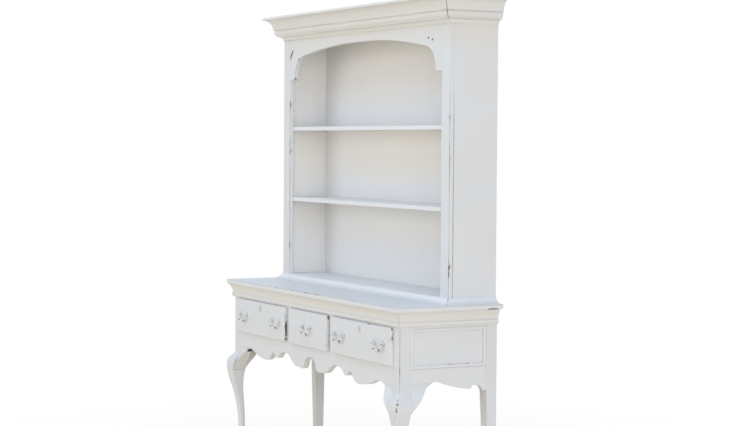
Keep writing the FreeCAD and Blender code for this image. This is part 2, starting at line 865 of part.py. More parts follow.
def make_base_back():
    body = new_body("base_back")
    reach = rear_inner + size.back_rebate
    pad(
        body, "board", "XZ_Plane", base_back_face, case_back,
        box(-reach, reach, base_back_foot, top_under),
    )
    keep("base_back", body)


def make_table_top():
    """Board with a rounded edge on its front and both ends."""
    body = new_body("table_top")
    half = base_half + size.top_side_overhang
    board = pad(
        body, "board", "XY_Plane", top_under, size.table_height,
        box(-half, half, top_front, top_back),
    )

    def on_edge(place):
        return at(abs(place.x), half) or at(place.y, top_front)

    upper = soften(
        body, "upper_round", board, size.top_round,
        lambda place: at(place.z, size.table_height) and on_edge(place),
    )
    soften(
        body, "lower_round", upper, size.top_under_round,
        lambda place: at(place.z, top_under) and on_edge(place),
    )
    keep("table_top", body)


# Mouldings

def profile(shares, reach, height, face, foot, sign):
    """Moulding profile from its foot on the carcass, out and up, and back along the carcass."""
    def across(share):
        return face + reach * (share * sign)

    def up(share):
        return foot + height * share

    steps = tuple(from_shares(row, across, up) for row in shares)
    return ((face, foot),) + steps + ((face, foot + height),)


def make_moulding(stem, shares, reach, height, half, front, back, foot):
    """A front length and two returns, mitred at the corners."""
    far_x = half + reach + size.overrun
    far_y = front - reach - size.overrun
    low = foot - size.overrun
    high = foot + height + size.overrun

    face = new_body(f"{stem}_front")
    pad(
        face, "length", "YZ_Plane", -(half + reach), half + reach,
        profile(shares, reach, height, front, foot, -1),
    )
    waste = ((half, front), (far_x, far_y), (far_x, front + size.overrun), (half, front + size.overrun))
    pocket(face, "mitres", "XY_Plane", low, high, *both_sides(waste))
    keep(f"{stem}_front", face)

    side = new_body(f"{stem}_return")
    pad(
        side, "length", "XZ_Plane", front - reach, back,
        profile(shares, reach, height, half, foot, 1),
    )
    waste = ((half, front), (half - size.overrun, front), (half - size.overrun, far_y), (far_x, far_y))
    pocket(side, "mitre", "XY_Plane", low, high, waste)
    keep_group(f"{stem}_returns", [side, mirrored(f"{stem}_return_left", side)])


def make_mouldings():
    make_moulding(
        "top_moulding", TOP_MOULD_SHARES, size.top_mould_reach, size.top_mould_height,
        base_half, case_front, case_back, mould_foot,
    )
    make_moulding(
        "rack_skirt", SKIRT_SHARES, size.skirt_reach, size.skirt_height,
        rack_half, rack_front, rack_back, size.table_height,
    )
    make_moulding(
        "cornice", CORNICE_SHARES, size.cornice_reach, size.cornice_height,
        rack_half, rack_front, rack_back, cornice_foot,
    )


# Rack

def make_rack_sides():
    """Solid sides with dadoes for the boards and a rebate for the back."""
    body = new_body("rack_side_right")
    pad(
        body, "board", "XY_Plane", size.table_height, rack_top,
        box(rack_inner, rack_half, frame_back, rack_back),
    )
    levels = (
        (floor_foot, floor_top),
        (lower_shelf_top - size.shelf_thickness, lower_shelf_top),
        (upper_shelf_top - size.shelf_thickness, upper_shelf_top),
        (roof_foot, rack_top),
    )
    pocket(
        body, "dadoes", "XZ_Plane", frame_back, back_face,
        *(box(rack_inner, dado_end, foot, head) for foot, head in levels),
    )
    pocket(
        body, "back_rebate", "XY_Plane", floor_foot, rack_top,
        box(rack_inner, dado_end, back_face, rack_back),
    )
    keep_pair("rack_side", body)


def make_boards():
    """Shelves, roof, floor and back of the rack."""
    boards = (
        ("shelf_upper", upper_shelf_top - size.shelf_thickness, upper_shelf_top),
        ("shelf_lower", lower_shelf_top - size.shelf_thickness, lower_shelf_top),
        ("rack_roof", roof_foot, rack_top),
    )
    for label, foot, head in boards:
        body = new_body(label)
        pad(body, "board", "XY_Plane", foot, head, box(-dado_end, dado_end, frame_back, back_face))
        keep(label, body)

    floor = new_body("rack_floor")
    plan = (
        (-dado_end, back_face),
        (-dado_end, frame_back),
        (-stile_inner, frame_back),
        (-stile_inner, rack_front),
        (stile_inner, rack_front),
        (stile_inner, frame_back),
        (dado_end, frame_back),
        (dado_end, back_face),
    )
    pad(floor, "board", "XY_Plane", floor_foot, floor_top, plan)
    keep("rack_floor", floor)

    back = new_body("rack_back")
    pad(back, "board", "XZ_Plane", back_face, rack_back, box(-dado_end, dado_end, floor_foot, rack_top))
    keep("rack_back", back)


def arch_outline():
    """Header with a broad flat arch whose ends drop to a rounded tip beside the stiles."""
    def place(share, height_share):
        return stile_inner * share, arch_tip + size.arch_rise * height_share

    spring = place(ARCH_HALF_SHARE, ARCH_SPRING_SHARE)
    flank = place(*ARCH_FLANK_SHARES[:2]) + place(*ARCH_FLANK_SHARES[2:])
    crown = place(*ARCH_CROWN_SHARES) + (as_size(0), arch_crown)
    tip = place(*ARCH_TIP_SHARES[:2]) + place(*ARCH_TIP_SHARES[2:])
    end = (stile_inner, arch_tip)
    right = [crown[2:], crown[:2] + flank[2:], flank[:2] + spring, tip, end]
    left = [(-end[0], end[1]), (-tip[2], tip[3]), (-tip[0], tip[1], -spring[0], spring[1])]
    left.append((-flank[0], flank[1], -flank[2], flank[3]))
    first = (-crown[0], crown[1]) + right[0]
    tops = [(stile_inner, rack_top), (-stile_inner, rack_top)]
    return (first,) + tuple(right[1:]) + tuple(tops) + tuple(left)


def make_face_frame():
    """Stiles that run up behind the cornice, and the arched header tongued between them."""
    tongue_low = rack_front + (size.stile_thickness - size.tenon_thickness) / 2
    tongue_high = tongue_low + size.tenon_thickness
    tongue = box(
        stile_inner, stile_inner + size.header_tongue,
        arch_tip + size.tenon_shoulder, rack_top - size.tenon_shoulder,
    )
    stile = new_body("rack_stile_right")
    pad(
        stile, "stile", "XZ_Plane", rack_front, frame_back,
        box(stile_inner, rack_half, size.table_height, rack_top),
    )
    pocket(stile, "header_groove", "XZ_Plane", tongue_low, tongue_high, tongue)
    keep_pair("rack_stile", stile)

    header = new_body("arch_header")
    pad(header, "board", "XZ_Plane", rack_front, frame_back, arch_outline())
    pad(header, "tongues", "XZ_Plane", tongue_low, tongue_high, *both_sides(tongue))
    keep("arch_header", header)


# Drawers

bearing_inner = post_inner - size.runner_bearing
middle_low = centre_half - size.runner_bearing
middle_high = divider_outer + size.runner_bearing


def make_runners():
    """Bearing strips and guides under the drawers, and kickers over them."""
    foot = opening_foot - size.runner_height
    guide_top = opening_foot + size.guide_height
    wall = base_half - size.side_thickness
    runners = new_body("drawer_runners")
    pad(
        runners, "bearings", "XZ_Plane", rail_back, base_back_face,
        *both_sides(box(bearing_inner, post_inner, foot, opening_foot)),
        *both_sides(box(middle_low, middle_high, foot, opening_foot)),
    )
    pad(
        runners, "outer_guides", "XZ_Plane", post_back, rear_front,
        *both_sides(box(post_inner, wall, foot, guide_top)),
    )
    pad(
        runners, "middle_guides", "XZ_Plane", rail_back, base_back_face,
        *both_sides(box(centre_half, divider_outer, opening_foot, guide_top)),
    )
    keep("drawer_runners", runners)

    kickers = new_body("drawer_kickers")
    head = opening_top + size.runner_height
    pad(
        kickers, "kickers", "XZ_Plane", rail_back, base_back_face,
        *both_sides(box(bearing_inner, post_inner, opening_top, head)),
        *both_sides(box(middle_low, middle_high, opening_top, head)),
    )
    keep("drawer_kickers", kickers)


lip_back = case_front - size.running_gap
lip_face = lip_back - size.lip_thickness
inset_back = case_front + size.front_inset
side_front = inset_back - size.drawer_lap
drawer_back = base_back_face - size.drawer_back_gap
side_foot = opening_foot + size.running_gap
side_top = side_foot + size.drawer_side_height
bottom_foot = side_foot + size.drawer_bottom_height
bottom_top = bottom_foot + size.drawer_bottom_thickness
pull_level = drawer_top - size.pull_drop
plate_face = lip_face - size.plate_thickness
bail_axis = plate_face - size.post_reach
post_half_span = size.pull_span / 2


def make_drawer(name, middle, opening, pull_places):
    """Lipped front, two sides, a back and a bottom in grooves, with its pulls."""
    half = opening / 2 - size.drawer_clearance
    inner = half - size.drawer_side_thickness
    lip_half = opening / 2 + size.lip_overlap

    front = new_body(f"drawer_{name}_front")
    lip = pad(
        front, "lip", "XZ_Plane", lip_face, lip_back,
        box(middle - lip_half, middle + lip_half, drawer_foot, drawer_top),
    )
    soften(front, "face_round", lip, size.lip_round, lambda place: at(place.y, lip_face))
    pad(
        front, "inset", "XZ_Plane", lip_back, inset_back,
        box(
            middle - half, middle + half,
            opening_foot + size.drawer_clearance, opening_top - size.drawer_clearance,
        ),
    )
    pocket(
        front, "side_laps", "XY_Plane", drawer_foot, drawer_top,
        box(middle - half - size.overrun, middle - inner, side_front, inset_back + size.overrun),
        box(middle + inner, middle + half + size.overrun, side_front, inset_back + size.overrun),
    )
    pocket(
        front, "bottom_groove", "XY_Plane", bottom_foot, bottom_top,
        box(middle - inner, middle + inner, inset_back - size.drawer_groove, inset_back + size.overrun),
    )
    keep(f"drawer_{name}_front", front)

    sides = new_body(f"drawer_{name}_sides")
    pad(
        sides, "boards", "XY_Plane", side_foot, side_top,
        box(middle - half, middle - inner, side_front, drawer_back),
        box(middle + inner, middle + half, side_front, drawer_back),
    )
    groove = inner + size.drawer_groove
    pocket(
        sides, "bottom_grooves", "XY_Plane", bottom_foot, bottom_top,
        box(middle - groove, middle - inner, inset_back - size.drawer_groove, drawer_back),
        box(middle + inner, middle + groove, inset_back - size.drawer_groove, drawer_back),
    )
    keep(f"drawer_{name}_sides", sides)

    back = new_body(f"drawer_{name}_back")
    pad(
        back, "board", "XY_Plane", bottom_top, side_top - size.drawer_bottom_thickness,
        box(middle - inner, middle + inner, drawer_back - size.drawer_side_thickness, drawer_back),
    )
    keep(f"drawer_{name}_back", back)

    bottom = new_body(f"drawer_{name}_bottom")
    pad(
        bottom, "board", "XY_Plane", bottom_foot, bottom_top,
        (
            (middle - inner, inset_back - size.drawer_groove),
            (middle + inner, inset_back - size.drawer_groove),
            (middle + inner, inset_back),
            (middle + groove, inset_back),
            (middle + groove, drawer_back),
            (middle - groove, drawer_back),
            (middle - groove, inset_back),
            (middle - inner, inset_back),
        ),
    )
    keep(f"drawer_{name}_bottom", bottom)

    make_plates(name, pull_places)
    make_posts(name, pull_places)


def plate_outline(centre):
    """Shaped pull plate, the same on both sides of its middle."""
    middle = pull_level - size.plate_drop
    wide = size.plate_width / 2
    tall = size.plate_height / 2
    right = [(centre, middle + tall)]
    left = []
    start = (0, 1)
    for mid_share, mid_level, end_share, end_level in PLATE_SHARES:
        right.append((
            centre + wide * mid_share, middle + tall * mid_level,
            centre + wide * end_share, middle + tall * end_level,
        ))
        left.append((
            centre - wide * mid_share, middle + tall * mid_level,
            centre - wide * start[0], middle + tall * start[1],
        ))
        start = (end_share, end_level)
    first = left.pop(0)
    return (first,) + tuple(right[1:]) + tuple(reversed(left))


def make_plates(name, places):
    """Backplates of the pulls, flat on the drawer's face."""
    body = new_body(f"pull_plates_{name}")
    pad(body, "plates", "XZ_Plane", plate_face, lip_face, *(plate_outline(place) for place in places))
    keep(f"pull_plates_{name}", body)


def make_posts(name, places):
    """Turned posts with a rosette and a round head, bored for the bail."""
    body = new_body(f"pull_posts_{name}")
    centres = [place + post_half_span * side for place in places for side in (-1, 1)]
    rosette = plate_face - size.post_base_radius * POST_ROSETTE_SHARE
    rim_step, rim_height = POST_RIM_SHARES
    head_end = bail_axis - size.post_head_radius
    neck_end = bail_axis + size.post_head_radius * POST_NECK_SHARE
    tip = size.post_head_radius * (1 - QUARTER_ARC_SHARE)
    for number, centre in enumerate(centres):
        sketch = new_sketch(body, f"post_profile_{number}", "YZ_Plane", centre)
        limits = []
        steps = [
            (head_end, pull_level),
            (plate_face, pull_level),
            (plate_face, pull_level + size.post_base_radius),
            (
                rosette + (plate_face - rosette) * rim_step, pull_level + size.post_base_radius * rim_height,
                rosette, pull_level + size.post_neck_radius,
            ),
            (neck_end, pull_level + size.post_neck_radius),
            (bail_axis - tip, pull_level + tip, head_end, pull_level),
        ]
        draw_edges(sketch, steps, False, limits)
        bind_limits(sketch, limits)
        axis = sketch.addGeometry(
            Part.LineSegment(point((head_end, pull_level)), point((plate_face, pull_level))), True
        )
        for end, other in ((1, 1), (2, 2)):
            sketch.addConstraint(Sketcher.Constraint("Coincident", axis, end, 0, other))
        post = body.newObject("PartDesign::Revolution", f"post_{number}")
        post.Profile = sketch
        post.ReferenceAxis = (sketch, ["Axis0"])
        post.Angle = 360
    low = centres[0] - size.post_base_radius
    high = centres[-1] + size.post_base_radius
    hole = size.bail_rod_radius + size.bail_hole_gap
    bore = circle(body, "bore_outline", "YZ_Plane", low, (bail_axis, pull_level), hole)
    add_cut(body, "bore", bore, low, high)
    keep(f"pull_posts_{name}", body)


def make_bail(label, centre):
    """Round rod: two pins in the posts, a bend at each and a bail with rounded lower corners."""
    body = new_body(label)
    pin_end = post_half_span + size.post_head_radius
    bail_half = size.bail_width / 2
    bend = size.bail_bend
    tip = bend * QUARTER_ARC_SHARE
    shoulder = pull_level - bend
    foot = pull_level - size.bail_drop
    corner = size.bail_corner
    dip = corner * QUARTER_ARC_SHARE
    path = (
        (centre - pin_end, pull_level),
        (centre - bail_half - bend, pull_level),
        (centre - bail_half - tip, pull_level - tip, centre - bail_half, shoulder),
        (centre - bail_half, foot + corner),
        (centre - bail_half + dip, foot + dip, centre - bail_half + corner, foot),
        (centre + bail_half - corner, foot),
        (centre + bail_half - dip, foot + dip, centre + bail_half, foot + corner),
        (centre + bail_half, shoulder),
        (centre + bail_half + tip, pull_level - tip, centre + bail_half + bend, pull_level),
        (centre + pin_end, pull_level),
    )
    spine = outline(body, "spine", "XZ_Plane", -bail_axis, (path,), closed=False)
    section = circle(
        body, "rod_outline", "YZ_Plane", centre - pin_end, (bail_axis, pull_level), size.bail_rod_radius
    )
    rod = body.newObject("PartDesign::AdditivePipe", "rod")
    rod.Profile = section
    rod.Spine = (spine, [])
    keep(label, body)


def make_escutcheon(label, centre):
    """Oval keyhole plate without a keyhole."""
    body = new_body(label)
    middle = drawer_top - size.escutcheon_drop
    wide = size.escutcheon_width / 2
    tall = size.escutcheon_height / 2
    straight = tall - wide
    oval = (
        (centre, middle - tall, centre + wide, middle - straight),
        (centre + wide, middle + straight),
        (centre, middle + tall, centre - wide, middle + straight),
        (centre - wide, middle - straight),
    )
    pad(body, "plate", "XZ_Plane", lip_face - size.escutcheon_thickness, lip_face, oval)
    keep(label, body)


def make_drawers():
    for name, middle in (("left", -wide_middle), ("right", wide_middle)):
        places = [middle - size.pull_offset, middle + size.pull_offset]
        make_drawer(name, middle, wide_opening, places)
        make_escutcheon(f"escutcheon_{name}", middle)
        for word, place in zip(("a", "b"), places):
            make_bail(f"bail_{name}_{word}", place)
    make_drawer("centre", as_size(0), size.centre_opening, [as_size(0)])
    make_bail("bail_centre", as_size(0))


def check_model():
    """Stop if a feature failed, a cut took nothing away or a shape is not whole."""
    for thing in doc.Objects:
        if "Invalid" in thing.State or "Error" in thing.State:
            raise RuntimeError(f"{thing.Name} failed: {thing.State}")
    for cut in cuts:
        if cut.Shape.Volume >= cut.BaseFeature.Shape.Volume * (1 - LEAST_CUT_SHARE):
            raise RuntimeError(f"{cut.Name} cuts nothing")
    for label, thing in nodes.items():
        if thing.Shape.isNull() or not thing.Shape.isValid():
            raise RuntimeError(f"{label} has no whole shape")


make_front_leg()
make_rear_leg()
make_front_frame()
make_side_frame()
make_knee_blocks()
make_base_back()
make_table_top()
make_mouldings()
make_rack_sides()
make_boards()
make_face_frame()
make_runners()
make_drawers()
doc.recompute()
check_model()

os.makedirs("parts", exist_ok=True)
for label, thing in nodes.items():
    thing.Shape.exportStep(f"parts/{label}.step")
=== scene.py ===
"""Welsh dresser: worn paint, bare wood and painted-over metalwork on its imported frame."""

import json
import math

import bmesh
import bpy
import numpy as np
from mathutils import Matrix, Vector

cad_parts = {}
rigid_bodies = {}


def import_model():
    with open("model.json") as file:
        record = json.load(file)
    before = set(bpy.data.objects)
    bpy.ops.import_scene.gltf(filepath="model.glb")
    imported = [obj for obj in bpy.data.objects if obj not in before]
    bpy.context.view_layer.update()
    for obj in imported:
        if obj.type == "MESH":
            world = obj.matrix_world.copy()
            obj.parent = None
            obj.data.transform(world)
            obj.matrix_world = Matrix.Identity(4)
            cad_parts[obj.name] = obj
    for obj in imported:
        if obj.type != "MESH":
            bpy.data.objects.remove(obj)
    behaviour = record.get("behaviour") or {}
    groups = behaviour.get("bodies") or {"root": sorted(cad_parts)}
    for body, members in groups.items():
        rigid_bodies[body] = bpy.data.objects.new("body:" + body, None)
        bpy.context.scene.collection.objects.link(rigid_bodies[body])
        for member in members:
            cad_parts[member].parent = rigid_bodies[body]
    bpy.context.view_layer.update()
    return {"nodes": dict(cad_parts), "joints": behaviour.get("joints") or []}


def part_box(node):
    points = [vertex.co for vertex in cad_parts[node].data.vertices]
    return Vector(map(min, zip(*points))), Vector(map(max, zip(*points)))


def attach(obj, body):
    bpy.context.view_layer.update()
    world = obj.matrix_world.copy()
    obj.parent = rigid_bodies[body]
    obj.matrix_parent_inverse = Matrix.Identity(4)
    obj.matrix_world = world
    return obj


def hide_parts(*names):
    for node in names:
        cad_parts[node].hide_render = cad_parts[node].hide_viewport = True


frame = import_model()

bl_info = {
    "name": "Welsh dresser",
    "version": (1, 0, 0),
    "blender": (4, 5, 0),
    "location": "View3D > Sidebar > Dresser",
    "description": "Paints the dresser, makes its pulls and sets its stage",
    "category": "Object",
}

NODES = frame["nodes"]
PULLS = {
    joint["child"]: (joint["parent"], Vector(joint["pos_m"]))
    for joint in frame["joints"]
    if joint["type"] == "hinge"
}
DRAWERS = ("left", "centre", "right")


# Settings

class DresserFinish(bpy.types.PropertyGroup):
    paint: bpy.props.FloatVectorProperty(
        name="Paint", description="Off-white top coat", subtype="COLOR", size=3,
        min=0, max=1, default=(0.693, 0.690, 0.684),
    )
    # Yellowed top coat, and painted warm light: warm bounce on the table's moulding and the
    # cornice, warm shade high in the rack's bays.
    aged_paint: bpy.props.FloatVectorProperty(
        name="Aged paint", description="Top coat where it has yellowed", subtype="COLOR", size=3,
        min=0, max=1, default=(0.722, 0.684, 0.618),
    )
    undercoat: bpy.props.FloatVectorProperty(
        name="Undercoat", description="Thin coat that shows round a worn place",
        subtype="COLOR", size=3,
        min=0, max=1, default=(0.47, 0.45, 0.41),
    )
    old_wood: bpy.props.FloatVectorProperty(
        name="Old wood", description="Stained wood under the paint", subtype="COLOR", size=3,
        min=0, max=1, default=(0.13, 0.118, 0.106),
    )
    bare_wood: bpy.props.FloatVectorProperty(
        name="Bare wood", description="Unpainted wood of the drawer boxes",
        subtype="COLOR", size=3,
        min=0, max=1, default=(0.44, 0.29, 0.17),
    )
    metal: bpy.props.FloatVectorProperty(
        name="Metal", description="Dull bronze under the paint of the pulls",
        subtype="COLOR", size=3,
        min=0, max=1, default=(0.200, 0.198, 0.196),
    )
    wear: bpy.props.FloatProperty(
        name="Wear", description="How much of the edges is rubbed bare", subtype="FACTOR",
        min=0, max=1, default=0.5,
    )
    edge_rounding: bpy.props.FloatProperty(
        name="Edge rounding", description="Softness of painted edges",
        unit="LENGTH", subtype="DISTANCE",
        min=0, default=0.0014,
    )


class DresserPulls(bpy.types.PropertyGroup):
    plate_width: bpy.props.FloatProperty(
        name="Plate width", description="Backplate of a pull", unit="LENGTH", subtype="DISTANCE",
        default=0.116,
    )
    plate_height: bpy.props.FloatProperty(
        name="Plate height", description="Backplate of a pull", unit="LENGTH", subtype="DISTANCE",
        default=0.058,
    )
    plate_drop: bpy.props.FloatProperty(
        name="Plate drop", description="Plate's middle below the bail's axis", unit="LENGTH",
        subtype="DISTANCE", default=0.005,
    )
    post_span: bpy.props.FloatProperty(
        name="Post span", description="Distance between the two posts",
        unit="LENGTH", subtype="DISTANCE",
        default=0.077,
    )
    bail_width: bpy.props.FloatProperty(
        name="Bail width", description="Width of the bail over its middle line", unit="LENGTH",
        subtype="DISTANCE", default=0.052,
    )
    bail_bend: bpy.props.FloatProperty(
        name="Bail bend", description="Bend between pin and bail",
        unit="LENGTH", subtype="DISTANCE",
        default=0.005,
    )
    bail_drop: bpy.props.FloatProperty(
        name="Bail drop", description="Foot of the bail below its axis",
        unit="LENGTH", subtype="DISTANCE",
        default=0.030,
    )
    bail_corner: bpy.props.FloatProperty(
        name="Bail corner", description="Rounding of the bail's lower corners", unit="LENGTH",
        subtype="DISTANCE", default=0.011,
    )
    rod_radius: bpy.props.FloatProperty(
        name="Rod radius", description="Radius of the bail at its pins",
        unit="LENGTH", subtype="DISTANCE",
        default=0.0026,
    )
    rod_swell: bpy.props.FloatProperty(
        name="Rod swell", description="How much thicker the bail is in its middle", unit="LENGTH",
        subtype="DISTANCE", default=0.0009,
    )


class DresserStage(bpy.types.PropertyGroup):
    lens: bpy.props.FloatProperty(
        name="Lens", description="Focal length on a 36 mm wide sensor, in millimetres",
        default=87.27,
    )
    eye: bpy.props.FloatVectorProperty(
        name="Eye", description="Place of the camera", subtype="XYZ", unit="LENGTH", size=3,
        default=(6.98374, -3.59293, 1.42580),
    )
    heading: bpy.props.FloatProperty(
        name="Heading", description="Turn of the view to the left of the Y axis", subtype="ANGLE",
        default=math.radians(62.114),
    )
    pitch: bpy.props.FloatProperty(
        name="Pitch", description="Tilt of the view downwards", subtype="ANGLE",
        default=math.radians(2.183),
    )
    roll: bpy.props.FloatProperty(
        name="Roll", description="Lean of the camera",
        subtype="ANGLE", default=math.radians(0.407),
    )
    floor: bpy.props.FloatVectorProperty(
        name="Floor", description="Pale floor", subtype="COLOR", size=3, min=0, max=1,
        default=(0.96, 0.82, 0.60),
    )
    ambient: bpy.props.FloatProperty(
        name="Ambient light", description="Strength of the light from all round",
        min=0, default=0.51,
    )
    overhead: bpy.props.FloatProperty(
        name="Overhead light", description="Power of the large lamp above", subtype="POWER",
        unit="POWER",
        min=0, default=126,
    )
    key: bpy.props.FloatProperty(
        name="Key light", description="Power of the lamp in front on the right", subtype="POWER",
        unit="POWER", min=0, default=410,
    )
    fill: bpy.props.FloatProperty(
        name="Fill light", description="Power of the lamp in front on the left", subtype="POWER",
        unit="POWER", min=0, default=103,
    )


# Shader expressions

class Value:
    """An output that varies over a surface. Expressions on numbers add Math nodes."""

    def __init__(self, nodes, socket):
        self.nodes = nodes
        self.socket = socket

    def __add__(self, other):
        return self.nodes.math("ADD", self, other)

    def __sub__(self, other):
        return self.nodes.math("SUBTRACT", self, other)

    def __rsub__(self, other):
        return self.nodes.math("SUBTRACT", other, self)

    def __mul__(self, other):
        return self.nodes.math("MULTIPLY", self, other)

    def __truediv__(self, other):
        return self.nodes.math("DIVIDE", self, other)

    def __rtruediv__(self, other):
        return self.nodes.math("DIVIDE", other, self)

    def __pow__(self, other):
        return self.nodes.math("POWER", self, other)

    def __rpow__(self, other):
        return self.nodes.math("POWER", other, self)

    __radd__ = __add__
    __rmul__ = __mul__


class Nodes:
    """Adds nodes to the tree of a material or of the world."""

    def __init__(self, tree):
        self.tree = tree
        tree.nodes.clear()

    def node(self, kind, settings=None, numbered=None, output=0, **inputs):
        """One node: its settings, then values or links by the number or the name of a socket."""
        node = self.tree.nodes.new(kind)
        for name, value in (settings or {}).items():
            setattr(node, name, value)
        given = [(node.inputs[number], value) for number, value in (numbered or {}).items()]
        for name, value in inputs.items():
            wanted = name.replace("_", " ")
            given.append((next(s for s in node.inputs if s.enabled and s.name == wanted), value))
        for socket, value in given:
            if isinstance(value, Value):
                self.tree.links.new(value.socket, socket)
            elif socket.type == "RGBA":
                socket.default_value = (*value[:3], 1)
            else:
                socket.default_value = value
        shown = [s for s in node.outputs if s.enabled]
        if not shown:
            return node
        if isinstance(output, int):
            return Value(self, shown[output])
        return Value(self, next(s for s in shown if s.name == output))

    def outputs(self, kind, **inputs):
        """One node, as all its outputs by name."""
        node = self.node(kind, **inputs).socket.node
        return {socket.name: Value(self, socket) for socket in node.outputs}

    def math(self, operation, first, second=0.0, clamp=False):
        """A Math node."""
        settings = {"operation": operation, "use_clamp": clamp}
        return self.node("ShaderNodeMath", settings, {0: first, 1: second})

    def vector(self, operation, first, second=(0, 0, 0)):
        """A Vector Math node."""
        return self.node("ShaderNodeVectorMath", {"operation": operation}, {0: first, 1: second})

    def clamp(self, value):
        return self.math("ADD", value, 0.0, clamp=True)

    def larger(self, first, second):
        return self.math("MAXIMUM", first, second)

    def smaller(self, first, second):
        return self.math("MINIMUM", first, second)

    def mix(self, factor, first, second):
        """From the first colour to the second."""
        return self.node("ShaderNodeMix", {"data_type": "RGBA"}, Factor=factor, A=first, B=second)

    def shade(self, colour, level):
        """A colour times a number."""
        grey = self.node("ShaderNodeCombineColor", Red=level, Green=level, Blue=level)
        settings = {"data_type": "RGBA", "blend_type": "MULTIPLY"}
        return self.node("ShaderNodeMix", settings, Factor=1.0, A=colour, B=grey)

    def noise(self, place, stretch, detail, roughness):
        """Noise with its own scale along each axis."""
        scaled = self.vector("MULTIPLY", place, stretch)
        return self.node(
            "ShaderNodeTexNoise", Vector=scaled, Scale=1.0, Detail=detail, Roughness=roughness,
        )


def new_material(name):
    material = bpy.data.materials.new(name)
    material.use_nodes = True
    return material, Nodes(material.node_tree)


def finish_surface(nodes, base, rough, normal, metal=None, **constants):
    """Principled surface with what varies linked and the rest set."""
    links = {"Base_Color": base, "Roughness": rough, "Normal": normal}
    if metal is not None:
        links["Metallic"] = metal
    surface = nodes.node("ShaderNodeBsdfPrincipled", **links, **constants)
    nodes.node("ShaderNodeOutputMaterial", Surface=surface)


# Finishes

# Scales of the noises along each axis, by the way the grain runs
GRAIN_STRETCH = {
    "x": (5.0, 240.0, 240.0),
    "y": (240.0, 5.0, 240.0),
    "z": (240.0, 240.0, 5.0),
}
RING_STRETCH = {"x": (1.5, 26.0, 26.0), "y": (26.0, 1.5, 26.0)}

# Detail and roughness of the noises along the grain
BRUSH_NOISE = (3.0, 0.5)
RING_NOISE = (3.0, 0.5)
FIBRE_NOISE = (4.0, 0.6)

# Scales, detail and roughness of the other noises
CLOUD_NOISE = ((2.6, 2.6, 2.6), 3.0, 0.5)
RUB_NOISE = ((26.0, 26.0, 26.0), 6.0, 0.68)
CHIP_NOISE = ((150.0, 150.0, 150.0), 2.0, 0.5)
STAIN_NOISE = ((4.0, 4.0, 4.0), 4.0, 0.6)
METAL_RUB_NOISE = ((95.0, 95.0, 95.0), 5.0, 0.65)
GRIT_NOISE = ((700.0, 700.0, 700.0), 3.0, 0.6)
NOISE_MIDDLE = 0.5

# Rounded edges as the shader sees them
SOFT_SAMPLES = 4
WEAR_SAMPLES = 6
WEAR_EDGE_WIDTH = 0.0045
EDGE_GAIN = 4.0

# Sharpness at the rim of a placed mark and of a yellowed place, whose tint is also painted warm
# light
SPOT_SHARPNESS = 2.0
AGED_AND_WARM_LIGHT_SHARPNESS = 1.0

# Paint: depth of its wear, and how fast the coat thins and goes
RUB_SHARE = 2.1
CHIP_SHARE = 0.5
WEAR_NEEDED = 1.62
THIN_GAIN = 5.0
THIN_LEAD = 0.9
THIN_SHARE = 0.55
BARE_GAIN = 7.0

# Paint: tone of the coat, grime in its edges, yellowing with painted warm light, and the wood
# under it
STROKE_TONE = 0.05
CLOUD_TONE = 0.06
LEAST_TONE = 0.945
GRIME_NOISE_SHARE = 0.9
LEAST_GRIME = 0.05
LEAST_AGEING_AND_WARM_LIGHT = 0.3
OLD_WOOD_STREAKS = 1.1
OLD_WOOD_LEAST = 0.45
# Marks past this level turn the bare wood near black: painted shade in the left drawer's gap, and
# the black spot at the left ear.
DARK_SCAR_AND_GAP_SHADE = 1.6
DARK_SCAR_AND_GAP_SHADE_SHARE = 0.85

# Paint: shine and relief
PAINT_ROUGH = {"strokes": 0.12, "bare": 0.22, "least": 0.43}
PAINT_RELIEF = {"strokes": 0.22, "chips": 0.08, "bare": 0.9}
PAINT_BUMP = {"Strength": 0.5, "Distance": 0.0004}
PAINT_SPECULAR = 0.42

# Bare wood
RING_TURNS = 46.0
LATE_WOOD_POWER = 2.5
WOOD_TONE = {"most": 0.98, "late": 0.26, "fibre": 0.16, "stain": 0.22}
WOOD_ROUGH = {"fibre": 0.15, "late": 0.08, "least": 0.58}
WOOD_RELIEF = {"fibre": 0.5, "late": 0.3}
WOOD_BUMP = {"Strength": 0.45, "Distance": 0.0004}
WOOD_SPECULAR = 0.3

# Metal under paint
METAL_DEPTH = {"rubbing": 2.0, "grit": 0.4}
METAL_BARE_GAIN = 5.0
METAL_THIN_GAIN = 4.0
METAL_THIN_LEAD = 0.8
METAL_THIN_SHARE = 0.5
METAL_COAT_TONE = {"grit": 0.12, "least": 0.92}
METAL_TONE = {"grit": 0.7, "rubbing": 0.6, "least": 0.35}
METAL_ROUGH = {"least": 0.5, "bare": 0.08, "grit": 0.12}
METAL_RELIEF = {"grit": 0.25, "bare": 0.6}
METAL_BUMP = {"Strength": 0.5, "Distance": 0.0003}
METAL_SPECULAR = 0.45
METAL_SHARE = 0.85
# Near black of the sunk keyhole: painted shade of a deep hole.
KEYHOLE_PAINTED_SHADE = (0.02, 0.018, 0.016)


def spot_field(nodes, place, spots, sharpness):
    """Sum of blocks with round corners: each is 1 inside, times its strength, and fades to 0
    at its half size."""
    total = None
    for middle, half_size, strength in spots:
        offset = nodes.vector("DIVIDE", nodes.vector("SUBTRACT", place, middle), half_size)
        reach = nodes.vector("LENGTH", nodes.vector("MULTIPLY", offset, offset))
        near = nodes.clamp((1 - reach) * sharpness) * strength
        total = near if total is None else total + near
    return total


